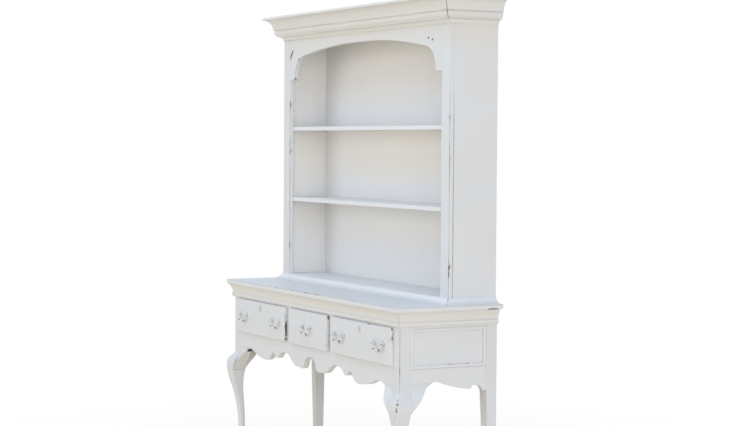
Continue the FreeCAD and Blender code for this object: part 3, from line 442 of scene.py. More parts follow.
def rim_field(nodes, place, box, sides, face, width):
    """1 on the edges where the sides of a box, across the named axes, meet its face, and 0 at
    a width from them."""
    low, high = box
    parts = nodes.outputs("ShaderNodeSeparateXYZ", Vector=place)
    along = {axis: parts[axis.upper()] for axis in "xyz"}
    aside = None
    for axis in sides:
        for gap in (along[axis] - getattr(low, axis), getattr(high, axis) - along[axis]):
            aside = gap if aside is None else nodes.smaller(aside, gap)
    axis, end = face
    level = getattr(high if end == "high" else low, axis)
    behind = along[axis] - level
    return nodes.clamp(1 - nodes.math("SQRT", aside * aside + behind * behind) / width)


def soft_edges(nodes, finish):
    """Normals that turn softly over the edges."""
    return nodes.node("ShaderNodeBevel", {"samples": SOFT_SAMPLES}, Radius=finish.edge_rounding)


def paint_material(
    name, grain, edge_spots=(), marks=(), rim=None, grime_share=1.0, painted_light_share=1.0, aged_and_warm_light=(),
):
    """Brushed paint, rubbed through to undercoat and wood where an edge's exposure, noises and
    placed marks add up to enough wear. Some marks also paint the shade of the drawer gaps, the
    yellowed places also paint warm light, and a last share lightens or darkens the whole coat
    as painted light."""
    finish = bpy.context.scene.dresser_finish
    material, nodes = new_material(name)
    place = nodes.node("ShaderNodeTexCoord", output="Object")
    facing = nodes.node("ShaderNodeNewGeometry", output="Normal")
    soft = soft_edges(nodes, finish)
    wide = nodes.node("ShaderNodeBevel", {"samples": WEAR_SAMPLES}, Radius=WEAR_EDGE_WIDTH)
    edge = nodes.clamp((1 - nodes.vector("DOT_PRODUCT", wide, facing)) * EDGE_GAIN)
    if rim is not None:
        edge = nodes.larger(edge, rim_field(nodes, place, *rim))

    strokes = nodes.noise(place, GRAIN_STRETCH[grain], *BRUSH_NOISE)
    clouds = nodes.noise(place, *CLOUD_NOISE)
    rubbing = nodes.noise(place, *RUB_NOISE)
    chips = nodes.noise(place, *CHIP_NOISE)

    exposure = edge
    local = spot_field(nodes, place, edge_spots, SPOT_SHARPNESS)
    if local is not None:
        exposure = exposure * (local + 1)
    rubbed = (rubbing - NOISE_MIDDLE) * RUB_SHARE
    chipped = (chips - NOISE_MIDDLE) * CHIP_SHARE
    depth = exposure + rubbed + chipped + (finish.wear - WEAR_NEEDED)
    # Placed marks. On the drawer lips they also paint the shade of the gap to the case.
    scars_and_gap_shade = spot_field(nodes, place, marks, SPOT_SHARPNESS)
    if scars_and_gap_shade is not None:
        depth = depth + scars_and_gap_shade
    thin = nodes.clamp(depth * THIN_GAIN + THIN_LEAD)
    bare = nodes.clamp(depth * BARE_GAIN)

    tone = strokes * STROKE_TONE + clouds * CLOUD_TONE + LEAST_TONE
    grime = edge * edge * (rubbing * GRIME_NOISE_SHARE + LEAST_GRIME) * grime_share
    paint = finish.paint
    # Yellowed places mix in the aged colour, which is also painted warm light.
    yellowed_and_warm_lit = spot_field(nodes, place, aged_and_warm_light, AGED_AND_WARM_LIGHT_SHARPNESS)
    if yellowed_and_warm_lit is not None:
        ageing_and_warm_light = nodes.clamp(yellowed_and_warm_lit * (clouds + LEAST_AGEING_AND_WARM_LIGHT))
        paint = nodes.mix(ageing_and_warm_light, paint, finish.aged_paint)
    # The whole coat is lightened or darkened by a share that is painted light: lighter inside the
    # rack and on the rail in the gap over the drawers, darker on the legs, face frame and drawer
    # fronts.
    coat = nodes.shade(paint, tone * painted_light_share)
    coat = nodes.mix(nodes.larger(thin * THIN_SHARE, grime), coat, finish.undercoat)
    wood_tone = strokes * OLD_WOOD_STREAKS + OLD_WOOD_LEAST
    # Very strong marks darken the wood to near black, as painted shade in the left drawer's gap.
    if scars_and_gap_shade is not None:
        wood_tone = wood_tone * (1 - nodes.clamp(scars_and_gap_shade - DARK_SCAR_AND_GAP_SHADE) * DARK_SCAR_AND_GAP_SHADE_SHARE)
    wood = nodes.shade(finish.old_wood, wood_tone)
    colour = nodes.mix(bare, coat, wood)
    share = PAINT_ROUGH
    rough = strokes * share["strokes"] + bare * share["bare"] + share["least"]
    share = PAINT_RELIEF
    relief = strokes * share["strokes"] + chips * share["chips"] - bare * share["bare"]
    normal = nodes.node("ShaderNodeBump", **PAINT_BUMP, Height=relief, Normal=soft)
    finish_surface(nodes, colour, rough, normal, Specular_IOR_Level=PAINT_SPECULAR)
    return material


def wood_material(name, grain):
    """Bare softwood: rings stretched along the grain, darker late wood, fibres and stains."""
    finish = bpy.context.scene.dresser_finish
    material, nodes = new_material(name)
    place = nodes.node("ShaderNodeTexCoord", output="Object")
    drift = nodes.noise(place, RING_STRETCH[grain], *RING_NOISE)
    rings = nodes.math("SINE", drift * RING_TURNS)
    late = nodes.clamp(rings * 0.5 + 0.5) ** LATE_WOOD_POWER
    fibre = nodes.noise(place, GRAIN_STRETCH[grain], *FIBRE_NOISE)
    stain = nodes.noise(place, *STAIN_NOISE)
    soft = soft_edges(nodes, finish)
    share = WOOD_TONE
    tone = share["most"] - late * share["late"] + fibre * share["fibre"] - stain * share["stain"]
    colour = nodes.shade(finish.bare_wood, tone)
    share = WOOD_ROUGH
    rough = fibre * share["fibre"] + late * share["late"] + share["least"]
    relief = fibre * WOOD_RELIEF["fibre"] + late * WOOD_RELIEF["late"]
    normal = nodes.node("ShaderNodeBump", **WOOD_BUMP, Height=relief, Normal=soft)
    finish_surface(nodes, colour, rough, normal, Specular_IOR_Level=WOOD_SPECULAR)
    return material


def metal_material(name, cover):
    """Cast metal under old paint: the paint stays in the hollows and goes from the crests. The
    sunk keyhole is painted near black, as painted shade.
    """
    finish = bpy.context.scene.dresser_finish
    material, nodes = new_material(name)
    place = nodes.node("ShaderNodeTexCoord", output="Object")
    crest = nodes.node("ShaderNodeAttribute", {"attribute_name": "crest"}, output="Fac")
    recess = nodes.node("ShaderNodeAttribute", {"attribute_name": "recess"}, output="Fac")
    rubbing = nodes.noise(place, *METAL_RUB_NOISE)
    grit = nodes.noise(place, *GRIT_NOISE)
    rubbed = (rubbing - NOISE_MIDDLE) * METAL_DEPTH["rubbing"]
    pitted = (grit - NOISE_MIDDLE) * METAL_DEPTH["grit"]
    depth = crest + rubbed + pitted - cover
    bare = nodes.clamp(depth * METAL_BARE_GAIN)
    thin = nodes.clamp(depth * METAL_THIN_GAIN + METAL_THIN_LEAD)
    coat = nodes.shade(finish.paint, grit * METAL_COAT_TONE["grit"] + METAL_COAT_TONE["least"])
    coat = nodes.mix(thin * METAL_THIN_SHARE, coat, finish.undercoat)
    share = METAL_TONE
    cast_tone = grit * share["grit"] + rubbing * share["rubbing"] + share["least"]
    cast = nodes.shade(finish.metal, cast_tone)
    colour = nodes.mix(nodes.larger(bare, recess), coat, cast)
    # The sunk keyhole goes near black: painted shade.
    colour = nodes.mix(recess, colour, KEYHOLE_PAINTED_SHADE)
    rough = METAL_ROUGH["least"] - bare * METAL_ROUGH["bare"] + grit * METAL_ROUGH["grit"]
    relief = grit * METAL_RELIEF["grit"] - bare * METAL_RELIEF["bare"]
    normal = nodes.node("ShaderNodeBump", **METAL_BUMP, Height=relief)
    finish_surface(
        nodes, colour, rough, normal, metal=bare * METAL_SHARE, Specular_IOR_Level=METAL_SPECULAR,
    )
    return material


def give(material, names):
    """Put a finish on CAD nodes."""
    for name in names:
        slots = NODES[name].data.materials
        slots.clear()
        slots.append(material)


# Surfaces

SHARP_ANGLE = math.radians(42)
MERGE_DISTANCE = 1e-6
SHORTEST_EDGE = 1e-7


def grid_faces(rows, columns, first):
    """Quads of a grid whose points are numbered row by row, closed along its columns."""
    row, column = np.meshgrid(np.arange(rows - 1), np.arange(columns), indexing="ij")
    here, below = row * columns, (row + 1) * columns
    after = (column + 1) % columns
    corners = (here + column, here + after, below + after, below + column)
    return first + np.stack([corner.ravel() for corner in corners], axis=1)


def closed_mesh(name, grids, fields):
    """Mesh from grids of points. Doubles are merged, so seams and poles close, and faces point
    outwards."""
    points, faces, count = [], [], 0
    for grid in grids:
        rows, columns = grid.shape[:2]
        faces.append(grid_faces(rows, columns, count))
        points.append(grid.reshape(-1, 3))
        count += rows * columns
    mesh = bpy.data.meshes.new(name)
    mesh.from_pydata(np.concatenate(points).tolist(), [], np.concatenate(faces).tolist())
    for field, parts in fields.items():
        values = np.concatenate([part.ravel() for part in parts]).astype(np.float32)
        mesh.attributes.new(field, "FLOAT", "POINT").data.foreach_set("value", values)
    shell = bmesh.new()
    shell.from_mesh(mesh)
    bmesh.ops.remove_doubles(shell, verts=shell.verts, dist=MERGE_DISTANCE)
    bmesh.ops.dissolve_degenerate(shell, edges=shell.edges, dist=SHORTEST_EDGE)
    bmesh.ops.recalc_face_normals(shell, faces=shell.faces)
    shell.to_mesh(mesh)
    shell.free()
    return mesh


def surface(name, patches, material, body, slot, replaced):
    """One piece from patches, each a grid of points and the fields on it."""
    fields = {field: [on[field] for grid, on in patches] for field in patches[0][1]}
    mesh = closed_mesh(name, [grid for grid, on in patches], fields)
    mesh.shade_smooth()
    mesh.set_sharp_from_angle(angle=SHARP_ANGLE)
    mesh.materials.append(material)
    piece = bpy.data.objects.new(name, mesh)
    bpy.context.scene.collection.objects.link(piece)
    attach(piece, body)
    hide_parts(*replaced)


def round_turn(count):
    """Angles of a full turn."""
    return np.linspace(0, math.tau, count, endpoint=False)


def by_row(values, columns):
    """A value for each row of a grid, for all its columns."""
    return np.repeat(values[:, None], columns, axis=1)


def straight(start, end, count):
    """Points on a line, from the first up to but without the last."""
    return np.linspace(start, end, count, endpoint=False)


def arc(start, middle, end, count):
    """Points on the circle through three points, from the first up to but without the last."""
    start, middle, end = (np.array(p, float) for p in (start, middle, end))
    a, b = middle - start, end - start
    cross = 2 * (a[0] * b[1] - a[1] * b[0])
    across = b[1] * a.dot(a) - a[1] * b.dot(b)
    up = a[0] * b.dot(b) - b[0] * a.dot(a)
    shift = np.array([across, up]) / cross
    centre = start + shift
    turn = [math.atan2(*(p - centre)[::-1]) for p in (start, end)]
    sign = 1 if cross > 0 else -1
    span = (turn[1] - turn[0]) * sign % math.tau
    angle = turn[0] + sign * span * np.arange(count) / count
    return centre + np.linalg.norm(shift) * np.stack([np.cos(angle), np.sin(angle)], axis=1)


def even(points, count):
    """A closed line of points, spaced evenly along its length."""
    loop = np.vstack([points, points[:1]])
    run = np.concatenate([[0], np.cumsum(np.linalg.norm(np.diff(loop, axis=0), axis=1))])
    at = np.linspace(0, run[-1], count, endpoint=False)
    return np.stack([np.interp(at, run, loop[:, axis]) for axis in (0, 1)], axis=1)


# Arcs of the plate's right half, from its top point: middle and end as shares of its half size
PLATE_SHARES = (
    (0.13, 0.88, 0.22, 0.60),
    (0.34, 0.84, 0.50, 0.66),
    (0.66, 0.76, 0.78, 0.52),
    (1.00, 0.30, 0.90, -0.02),
    (0.94, -0.34, 0.70, -0.46),
    (0.50, -0.48, 0.38, -0.72),
    (0.22, -1.00, 0.00, -0.86),
)
# Share of the outline and height over the drawer, from the middle over the rim to the back
PLATE_PROFILE = np.array([
    (0.00, 0.0019), (0.35, 0.0019), (0.62, 0.0019), (0.78, 0.0018), (0.85, 0.0019),
    (0.89, 0.0024), (0.925, 0.0029), (0.955, 0.0028), (0.98, 0.0023), (1.00, 0.0012),
    (1.00, 0.0000), (0.50, 0.0000), (0.00, 0.0000),
])
PLATE_CREST = np.array([0.0, 0.0, 0.0, 0.0, 0.1, 0.5, 0.9, 0.95, 0.9, 0.7, 0.3, 0.0, 0.0])
PLATE_ARC_POINTS = 16
PLATE_POINTS = 200
LEAST_TURN = math.radians(0.15)


def plate_line(settings):
    """Closed outline of a pull plate: arcs from the top point to the foot, and their mirror image.

    Round the plate's middle the angle only falls along the arcs, so that shrunk outlines never
    cross.
    """
    right, start = [], (0.0, 1.0)
    for row in PLATE_SHARES:
        right.append(arc(start, row[:2], row[2:], PLATE_ARC_POINTS))
        start = row[2:]
    half = (settings.plate_width / 2, settings.plate_height / 2)
    right = np.vstack(right + [np.array([start])]) * half
    least = LEAST_TURN * np.arange(len(right))
    angle = np.minimum.accumulate(np.arctan2(right[:, 1], right[:, 0]) + least) - least
    reach = np.linalg.norm(right, axis=1)[:, None]
    right = reach * np.stack([np.cos(angle), np.sin(angle)], axis=1)
    left = right[-2:0:-1] * (-1, 1)
    return even(np.vstack([right, left]), PLATE_POINTS)


def plate_patch(settings, pull, seat):
    """Plate: its outline shrinks to the middle while a profile of heights runs over its rim."""
    line = plate_line(settings)
    scale = PLATE_PROFILE[:, 0, None]
    grid = np.empty((len(PLATE_PROFILE), len(line), 3))
    grid[..., 0] = pull.x + scale * line[:, 0]
    grid[..., 1] = seat - PLATE_PROFILE[:, 1, None]
    grid[..., 2] = pull.z - settings.plate_drop + scale * line[:, 1]
    return grid, {"crest": by_row(PLATE_CREST, len(line))}


# Distance from the plate and radius of a post's rosette and neck
POST_FOOT = np.array([
    (0.0000, 0.0092), (0.0010, 0.0094), (0.0019, 0.0088), (0.0024, 0.0072), (0.0030, 0.0063),
    (0.0034, 0.0048), (0.0046, 0.0038), (0.0062, 0.0035), (0.0078, 0.0038),
])
POST_SEGMENTS = 64
HEAD_MIDDLE = 0.013
HEAD_RADIUS = 0.006
HEAD_START = math.radians(42)
HEAD_POINTS = 16
LOBES = 8
LOBE_SHARE = 0.085
LOBE_REACH = 0.0032
POST_CREST_RADIUS = 0.0075
POST_LEAST_CREST = 0.25


def post_profile():
    """Distance from the plate and radius of a post: rosette, neck and round head."""
    turn = np.linspace(HEAD_START, math.pi, HEAD_POINTS)
    head = np.stack([HEAD_MIDDLE - HEAD_RADIUS * np.cos(turn), HEAD_RADIUS * np.sin(turn)], axis=1)
    return np.vstack([POST_FOOT, head])


def post_patch(x, z, face):
    """Post: a profile turned about its axis, with lobes on the rosette that fade at the neck."""
    outline = post_profile()
    angle = round_turn(POST_SEGMENTS)
    fade = np.clip(1 - outline[:, 0] / LOBE_REACH, 0, 1)[:, None]
    radius = outline[:, 1, None] * (1 + fade * LOBE_SHARE * np.cos(LOBES * angle))
    grid = np.empty((len(outline), len(angle), 3))
    grid[..., 0] = x + radius * np.cos(angle)
    grid[..., 1] = face - outline[:, 0, None]
    grid[..., 2] = z + radius * np.sin(angle)
    width = np.clip(outline[:, 1] / POST_CREST_RADIUS, 0, 1)
    crest = width * (1 - POST_LEAST_CREST) + POST_LEAST_CREST
    return grid, {"crest": by_row(crest, len(angle))}


ROD_SEGMENTS = 24
PIN_OVERHANG = 0.006
PIN_POINTS, BEND_POINTS, SIDE_POINTS, CORNER_POINTS, FOOT_POINTS = 10, 10, 12, 14, 12
ARC_MIDDLE = 1 - math.sqrt(0.5)
COLLAR_OUT = 0.0262
COLLAR_WIDTH = 0.0016
COLLAR_FALL = 0.006
COLLAR_END = 1.6
COLLAR_RISE = 0.0011
RUBBED_CORNER = 0.0245
RUBBED_WIDTH = 0.0065
ROD_CREST, CORNER_CREST, PIN_CREST = 0.35, 0.85, 0.6
PIN_FALL = 0.001


def bail_line(settings):
    """Middle line of a bail: pin, bend, side, lower corner and half the foot, and their mirror
    image."""
    half = settings.bail_width / 2
    bend = settings.bail_bend
    foot = -settings.bail_drop
    corner = settings.bail_corner
    end = settings.post_span / 2 + PIN_OVERHANG
    tip = bend * ARC_MIDDLE
    dip = corner * ARC_MIDDLE
    low = foot + corner
    left = np.vstack([
        straight((-end, 0), (-half - bend, 0), PIN_POINTS),
        arc((-half - bend, 0), (-half - tip, -tip), (-half, -bend), BEND_POINTS),
        straight((-half, -bend), (-half, low), SIDE_POINTS),
        arc((-half, low), (-half + dip, foot + dip), (-half + corner, foot), CORNER_POINTS),
        straight((-half + corner, foot), (0, foot), FOOT_POINTS),
    ])
    return np.vstack([left, [(0, foot)], left[::-1] * (-1, 1)])


def bail_patch(settings, pull):
    """Bail: a circle carried along the middle line, thicker below, with a collar at each bend and
    flat ends."""
    line = bail_line(settings)
    along = np.gradient(line, axis=0)
    along /= np.linalg.norm(along, axis=1, keepdims=True)
    side = np.stack([-along[:, 1], along[:, 0]], axis=1)
    out, fall = np.abs(line[:, 0]), -line[:, 1]
    swell = np.clip(fall / settings.bail_drop, 0, 1) ** 2
    collar = np.exp(-((out - COLLAR_OUT) / COLLAR_WIDTH) ** 2) * np.clip(fall / COLLAR_FALL, 0, 1)
    collar *= np.clip(COLLAR_END - fall / COLLAR_FALL, 0, 1)
    radius = settings.rod_radius + settings.rod_swell * swell + COLLAR_RISE * collar
    corner = np.hypot(out - RUBBED_CORNER, fall - RUBBED_CORNER)
    crest = ROD_CREST + CORNER_CREST * np.exp(-(corner / RUBBED_WIDTH) ** 2)
    crest += PIN_CREST * (fall < PIN_FALL)

    rows = np.r_[0, 0:len(line), len(line) - 1]
    line, side, radius, crest = line[rows], side[rows], radius[rows], crest[rows]
    radius[[1, -2]] = settings.rod_radius
    radius[[0, -1]] = 0
    angle = round_turn(ROD_SEGMENTS)
    across = radius[:, None] * np.cos(angle)
    grid = np.empty((len(line), len(angle), 3))
    grid[..., 0] = pull.x + line[:, 0, None] + side[:, 0, None] * across
    grid[..., 1] = pull.y + radius[:, None] * np.sin(angle)
    grid[..., 2] = pull.z + line[:, 1, None] + side[:, 1, None] * across
    return grid, {"crest": by_row(crest, len(angle))}


# Keyhole plate: rings from its middle over the rim to the back, then its tables by ring
KEYHOLE_RINGS = np.concatenate([
    np.linspace(0, 0.86, 26), [0.90, 0.94, 0.97, 0.99, 1.0, 1.0, 0.5, 0.0],
])
KEYHOLE_BACK_RINGS = 3
KEYHOLE_HEIGHT = ((0, 0.72, 0.86, 0.93, 0.98, 1), (0.75, 0.75, 0.85, 1.0, 0.85, 0.5))
KEYHOLE_CREST = ((0, 0.8, 0.93, 1), (0.25, 0.3, 0.95, 0.8))
KEYHOLE_SEGMENTS = 120
OVAL_SIDES = 6
EYE_UP = 0.0026
EYE_RADIUS = 0.0021
SLIT_HALF = 0.0009
SLIT_FOOT = -0.0052
SUNK_SHARE = 0.85


def keyhole_patch(low, high):
    """Keyhole plate: an oval whose height domes to a rim, with a keyhole sunk into its middle."""
    middle = (low + high) / 2
    wide, tall, thick = (high.x - low.x) / 2, (high.z - low.z) / 2, high.y - low.y
    height = np.interp(KEYHOLE_RINGS, *KEYHOLE_HEIGHT) * thick
    height[-KEYHOLE_BACK_RINGS:] = 0
    angle = round_turn(KEYHOLE_SEGMENTS)
    up = wide * np.sin(angle) + (tall - wide) * np.tanh(OVAL_SIDES * np.sin(angle))
    x = KEYHOLE_RINGS[:, None] * (wide * np.cos(angle))
    z = KEYHOLE_RINGS[:, None] * up
    eye = np.hypot(x, z - EYE_UP) < EYE_RADIUS
    slit = (np.abs(x) < SLIT_HALF) & (z < EYE_UP) & (z > SLIT_FOOT)
    sunk = (eye | slit).astype(float)
    sunk[-KEYHOLE_BACK_RINGS:] = 0
    grid = np.empty(x.shape + (3,))
    grid[..., 0] = middle.x + x
    grid[..., 1] = high.y - height[:, None] * (1 - SUNK_SHARE * sunk)
    grid[..., 2] = middle.z + z
    crest = np.interp(KEYHOLE_RINGS, *KEYHOLE_CREST)
    return grid, {"crest": by_row(crest, len(angle)), "recess": sunk}


# Wear, painted gap shade, and yellowing with painted warm light: middle, half size and strength of
# each place

DRAWER_EDGE_SPOTS = (
    ((-0.226, -0.223, 0.625), (0.020, 0.030, 0.080), 0.4),
    ((0.748, -0.223, 0.640), (0.020, 0.030, 0.075), 0.35),
    ((0.185, -0.223, 0.630), (0.020, 0.030, 0.090), 0.3),
    ((0.330, -0.223, 0.554), (0.120, 0.030, 0.016), 0.3),
    ((-0.500, -0.223, 0.554), (0.150, 0.030, 0.016), 0.3),
    ((0.000, -0.223, 0.707), (1.200, 0.030, 0.010), -0.8),
)
# Dark lines on the drawer lips' sides: wear, and painted shadow of the gap between lip and case.
# The last is a worn patch on the right drawer's top edge.
DRAWER_MARKS_AND_GAP_SHADE = (
    ((-0.226, -0.2155, 0.612), (0.006, 0.0046, 0.034), 2.20),
    ((-0.226, -0.2155, 0.630), (0.006, 0.0038, 0.070), 1.00),
    ((-0.226, -0.2155, 0.566), (0.006, 0.0045, 0.008), 1.20),
    ((0.185, -0.2105, 0.632), (0.006, 0.0036, 0.078), 0.85),
    ((0.186, -0.2135, 0.697), (0.006, 0.0052, 0.010), 1.25),
    ((0.748, -0.2130, 0.640), (0.006, 0.0044, 0.068), 1.00),
    ((0.748, -0.2145, 0.700), (0.006, 0.0045, 0.006), 1.25),
    ((0.575, -0.2225, 0.706), (0.034, 0.0050, 0.003), 1.05),
)
RACK_EDGE_SPOTS = (
    ((-0.707, 0.030, 1.240), (0.020, 0.040, 0.420), 0.9),
    ((-0.640, 0.030, 1.730), (0.030, 0.040, 0.030), 0.9),
    ((-0.560, 0.030, 1.800), (0.130, 0.040, 0.060), 0.5),
    ((0.772, 0.025, 1.200), (0.015, 0.012, 0.480), 0.7),
    ((0.772, 0.044, 1.150), (0.015, 0.012, 0.500), 0.8),
    ((0.707, 0.030, 1.050), (0.020, 0.040, 0.200), 0.5),
)
RACK_MARKS = (
    ((0.5965, 0.025, 1.8535), (0.0090, 0.010, 0.0050), 1.45),
    ((0.6285, 0.025, 1.8450), (0.0080, 0.010, 0.0050), 1.45),
    ((-0.6810, 0.025, 1.8480), (0.0085, 0.010, 0.0090), 1.6),
    ((-0.6920, 0.025, 1.8350), (0.0085, 0.010, 0.0100), 1.8),
    ((-0.7030, 0.025, 1.8220), (0.0075, 0.010, 0.0080), 1.5),
    ((-0.6550, 0.026, 1.7225), (0.0090, 0.012, 0.0060), 1.7),
    ((-0.7050, 0.028, 1.6000), (0.0060, 0.010, 0.0300), 1.1),
    ((-0.7070, 0.027, 1.4110), (0.0080, 0.010, 0.0480), 0.98),
    ((-0.7070, 0.027, 0.9650), (0.0080, 0.010, 0.0420), 0.98),
    ((-0.7070, 0.027, 1.2000), (0.0070, 0.008, 0.1200), 0.62),
    ((0.7720, 0.027, 0.9350), (0.0070, 0.008, 0.0480), 1.02),
    ((0.7720, 0.027, 1.3300), (0.0070, 0.008, 0.1200), 0.86),
    ((0.7720, 0.027, 1.5200), (0.0070, 0.008, 0.0300), 0.86),
    ((0.7720, 0.044, 1.2000), (0.0040, 0.004, 0.4500), 0.60),
    ((-0.6140, 0.025, 1.8100), (0.0180, 0.012, 0.0120), 0.95),
    ((-0.5500, 0.025, 1.8290), (0.0500, 0.012, 0.0110), 0.85),
    ((-0.4300, 0.025, 1.8440), (0.0700, 0.012, 0.0080), 0.80),
)
LEG_EDGE_SPOTS = (
    ((0.828, -0.236, 0.350), (0.020, 0.020, 0.140), 0.4),
    ((0.800, -0.207, 0.560), (0.012, 0.012, 0.160), 0.5),
)
LEG_MARKS = (
    ((0.8262, -0.2332, 0.4165), (0.0090, 0.0090, 0.0085), 1.25),
    ((0.8185, -0.2257, 0.4300), (0.0045, 0.0045, 0.0045), 1.10),
    ((0.8220, -0.2020, 0.4330), (0.0060, 0.0070, 0.0030), 1.05),
    ((0.8292, -0.2364, 0.3930), (0.0050, 0.0050, 0.0150), 0.90),
    ((0.8275, -0.2348, 0.3620), (0.0050, 0.0050, 0.0130), 0.95),
    ((0.8225, -0.2298, 0.3370), (0.0050, 0.0050, 0.0100), 0.90),
    ((0.8160, -0.2232, 0.3110), (0.0055, 0.0055, 0.0140), 0.95),
    ((0.8090, -0.2162, 0.2840), (0.0055, 0.0055, 0.0140), 0.85),
    ((0.8000, -0.2070, 0.5940), (0.0040, 0.0040, 0.1100), 0.85),
    ((-0.8290, -0.2360, 0.3850), (0.0060, 0.0060, 0.0300), 0.80),
    # Near-black spot on the left ear, where it meets the apron.
    ((-0.6700, -0.1860, 0.4630), (0.0150, 0.0150, 0.0140), 3.50),
)
SIDE_MARKS = (
    ((0.795, 0.110, 0.6880), (0.0080, 0.0600, 0.0030), 1.0),
    ((0.795, 0.060, 0.5550), (0.0080, 0.0900, 0.0030), 1.0),
)
# Yellowing and painted warm shade high in the rack's bays and on its left inner wall.
RACK_AGED_AND_WARM_LIGHT = (
    ((0.000, 0.220, 1.790), (1.000, 0.200, 0.240), 0.9),
    ((0.000, 0.220, 1.400), (1.000, 0.200, 0.170), 0.9),
    ((0.000, 0.220, 1.080), (1.000, 0.200, 0.140), 0.6),
    ((-0.752, 0.130, 1.300), (0.060, 0.200, 0.800), 0.7),
)
# Yellowing and painted warm bounce light over the table's moulding.
MOULDING_AGED_AND_WARM_LIGHT = (
    ((0.000, -0.230, 0.750), (4.000, 2.000, 0.052), 0.75),
)
# Yellowing and painted warm light over the cornice.
CORNICE_AGED_AND_WARM_LIGHT = (
    ((0.000, -0.020, 1.940), (1.400, 0.300, 0.140), 0.9),
)
CORNICE_EDGE_SPOTS = (
    ((0.850, -0.054, 1.990), (0.030, 0.030, 0.030), 0.6),
    ((0.810, -0.014, 1.950), (0.030, 0.030, 0.050), 0.5),
    ((-0.280, -0.040, 1.950), (0.120, 0.060, 0.040), 0.6),
    ((0.830, 0.100, 1.950), (0.060, 0.160, 0.040), 0.9),
)
TABLE_EDGE_SPOTS = (
    ((0.000, -0.237, 0.789), (0.900, 0.016, 0.012), 0.22),
)
TABLE_MARKS = (
    ((0.830, 0.198, 0.7715), (0.0060, 0.0300, 0.0042), 1.60),
)

# Width of the rubbed rims
TABLE_RIM = 0.009
DRAWER_RIM = 0.007

# How much of the metal the old paint covers
PLATE_COVER = 1.20
KEYHOLE_COVER = 0.70
POST_COVER = {"left": 1.03, "centre": 0.98, "right": 0.88}
BAIL_COVER = {"left": 0.84, "centre": 0.78, "right": 0.70}


# Stage

WHITE = (1, 1, 1)
SKY_TINT = (0.84, 0.895, 1.0)
FLOOR_RADII = np.concatenate([[0.0], np.geomspace(0.2, 60.0, 40)])
FLOOR_SEGMENTS = 96
FLOOR_FADE = {"From_Min": 0.6, "From_Max": 2.6, "To_Min": 0.86, "To_Max": 1.0}
SEEN_RAYS = ("Is Camera Ray", "Is Glossy Ray", "Is Transmission Ray")
SENSOR_WIDTH = 36
CAMERA_REACH = 200

# Place, target, size and colour of each lamp. The stage's settings have its power.
LAMPS = {
    "overhead": ((0.4, -0.9, 4.6), (0.0, 0.0, 0.8), (5.0, 5.0), (0.58, 0.76, 1.0)),
    "key": ((9.6, -2.9, 1.8), (0.0, 0.0, 1.0), (6.0, 3.4), (0.890, 0.918, 1.0)),
    "fill": ((-1.5, -6.0, 1.9), (0.0, 0.0, 1.0), (5.0, 3.5), (0.93, 0.935, 0.975)),
}


def shown_rays(nodes):
    """1 for what the camera sees straight, in a mirror or through glass."""
    path = nodes.outputs("ShaderNodeLightPath")
    straight_on, mirrored, through = (path[name] for name in SEEN_RAYS)
    return nodes.larger(nodes.larger(straight_on, mirrored), through)


def make_floor(settings):
    """Flat disc: radius by angle. Its colour fades to white away from the middle."""
    angle = round_turn(FLOOR_SEGMENTS)
    grid = np.zeros((len(FLOOR_RADII), len(angle), 3))
    grid[..., 0] = FLOOR_RADII[:, None] * np.cos(angle)
    grid[..., 1] = FLOOR_RADII[:, None] * np.sin(angle)
    mesh = closed_mesh("floor", [grid], {})
    material, nodes = new_material("floor_pale")
    place = nodes.node("ShaderNodeTexCoord", output="Object")
    reach = nodes.vector("LENGTH", place)
    smooth = {"interpolation_type": "SMOOTHSTEP"}
    far = nodes.node("ShaderNodeMapRange", smooth, Value=reach, **FLOOR_FADE)
    ground = nodes.node("ShaderNodeBsdfDiffuse", Color=tuple(settings.floor))
    glow = nodes.node("ShaderNodeEmission", Color=WHITE, Strength=1.0)
    both = nodes.node(
        "ShaderNodeMixShader", numbered={1: ground, 2: glow}, Fac=far * shown_rays(nodes),
    )
    nodes.node("ShaderNodeOutputMaterial", Surface=both)
    mesh.materials.append(material)
    floor = bpy.data.objects.new("floor", mesh)
    bpy.context.scene.collection.objects.link(floor)


def make_world(settings):
    """White to the eye, and a softer light on the object."""
    world = bpy.data.worlds.new("studio")
    world.use_nodes = True
    bpy.context.scene.world = world
    nodes = Nodes(world.node_tree)
    seen = shown_rays(nodes)
    strength = seen * (1 - settings.ambient) + settings.ambient
    colour = nodes.mix(seen, SKY_TINT, WHITE)
    light = nodes.node("ShaderNodeBackground", Color=colour, Strength=strength)
    nodes.node("ShaderNodeOutputWorld", Surface=light)


def make_lamp(name, power, place, target, size, colour):
    """A rectangular soft lamp that looks at a point."""
    lamp = bpy.data.lights.new(name, "AREA")
    lamp.shape = "RECTANGLE"
    lamp.size, lamp.size_y = size
    lamp.energy = power
    lamp.color = colour
    holder = bpy.data.objects.new(name, lamp)
    aim = (Vector(target) - Vector(place)).to_track_quat("-Z", "Y")
    holder.matrix_world = Matrix.Translation(place) @ aim.to_matrix().to_4x4()
    bpy.context.scene.collection.objects.link(holder)


def make_camera(settings):
    """Camera by heading, pitch and roll."""
    turn, tilt, lean = settings.heading, settings.pitch, settings.roll
    level = math.cos(tilt)
    ahead = Vector((-math.sin(turn) * level, math.cos(turn) * level, -math.sin(tilt)))
    right = Vector((math.cos(turn), math.sin(turn), 0))
    up = right.cross(ahead)
    side = right * math.cos(lean) + up * math.sin(lean)
    top = up * math.cos(lean) - right * math.sin(lean)
    lens = bpy.data.cameras.new("camera")
    lens.sensor_fit = "HORIZONTAL"
    lens.sensor_width = SENSOR_WIDTH
    lens.lens = settings.lens
    lens.clip_end = CAMERA_REACH
    camera = bpy.data.objects.new("camera", lens)
    axes = Matrix((side, top, -ahead)).transposed().to_4x4()
    camera.matrix_world = Matrix.Translation(settings.eye) @ axes
    bpy.context.scene.collection.objects.link(camera)
    bpy.context.scene.camera = camera


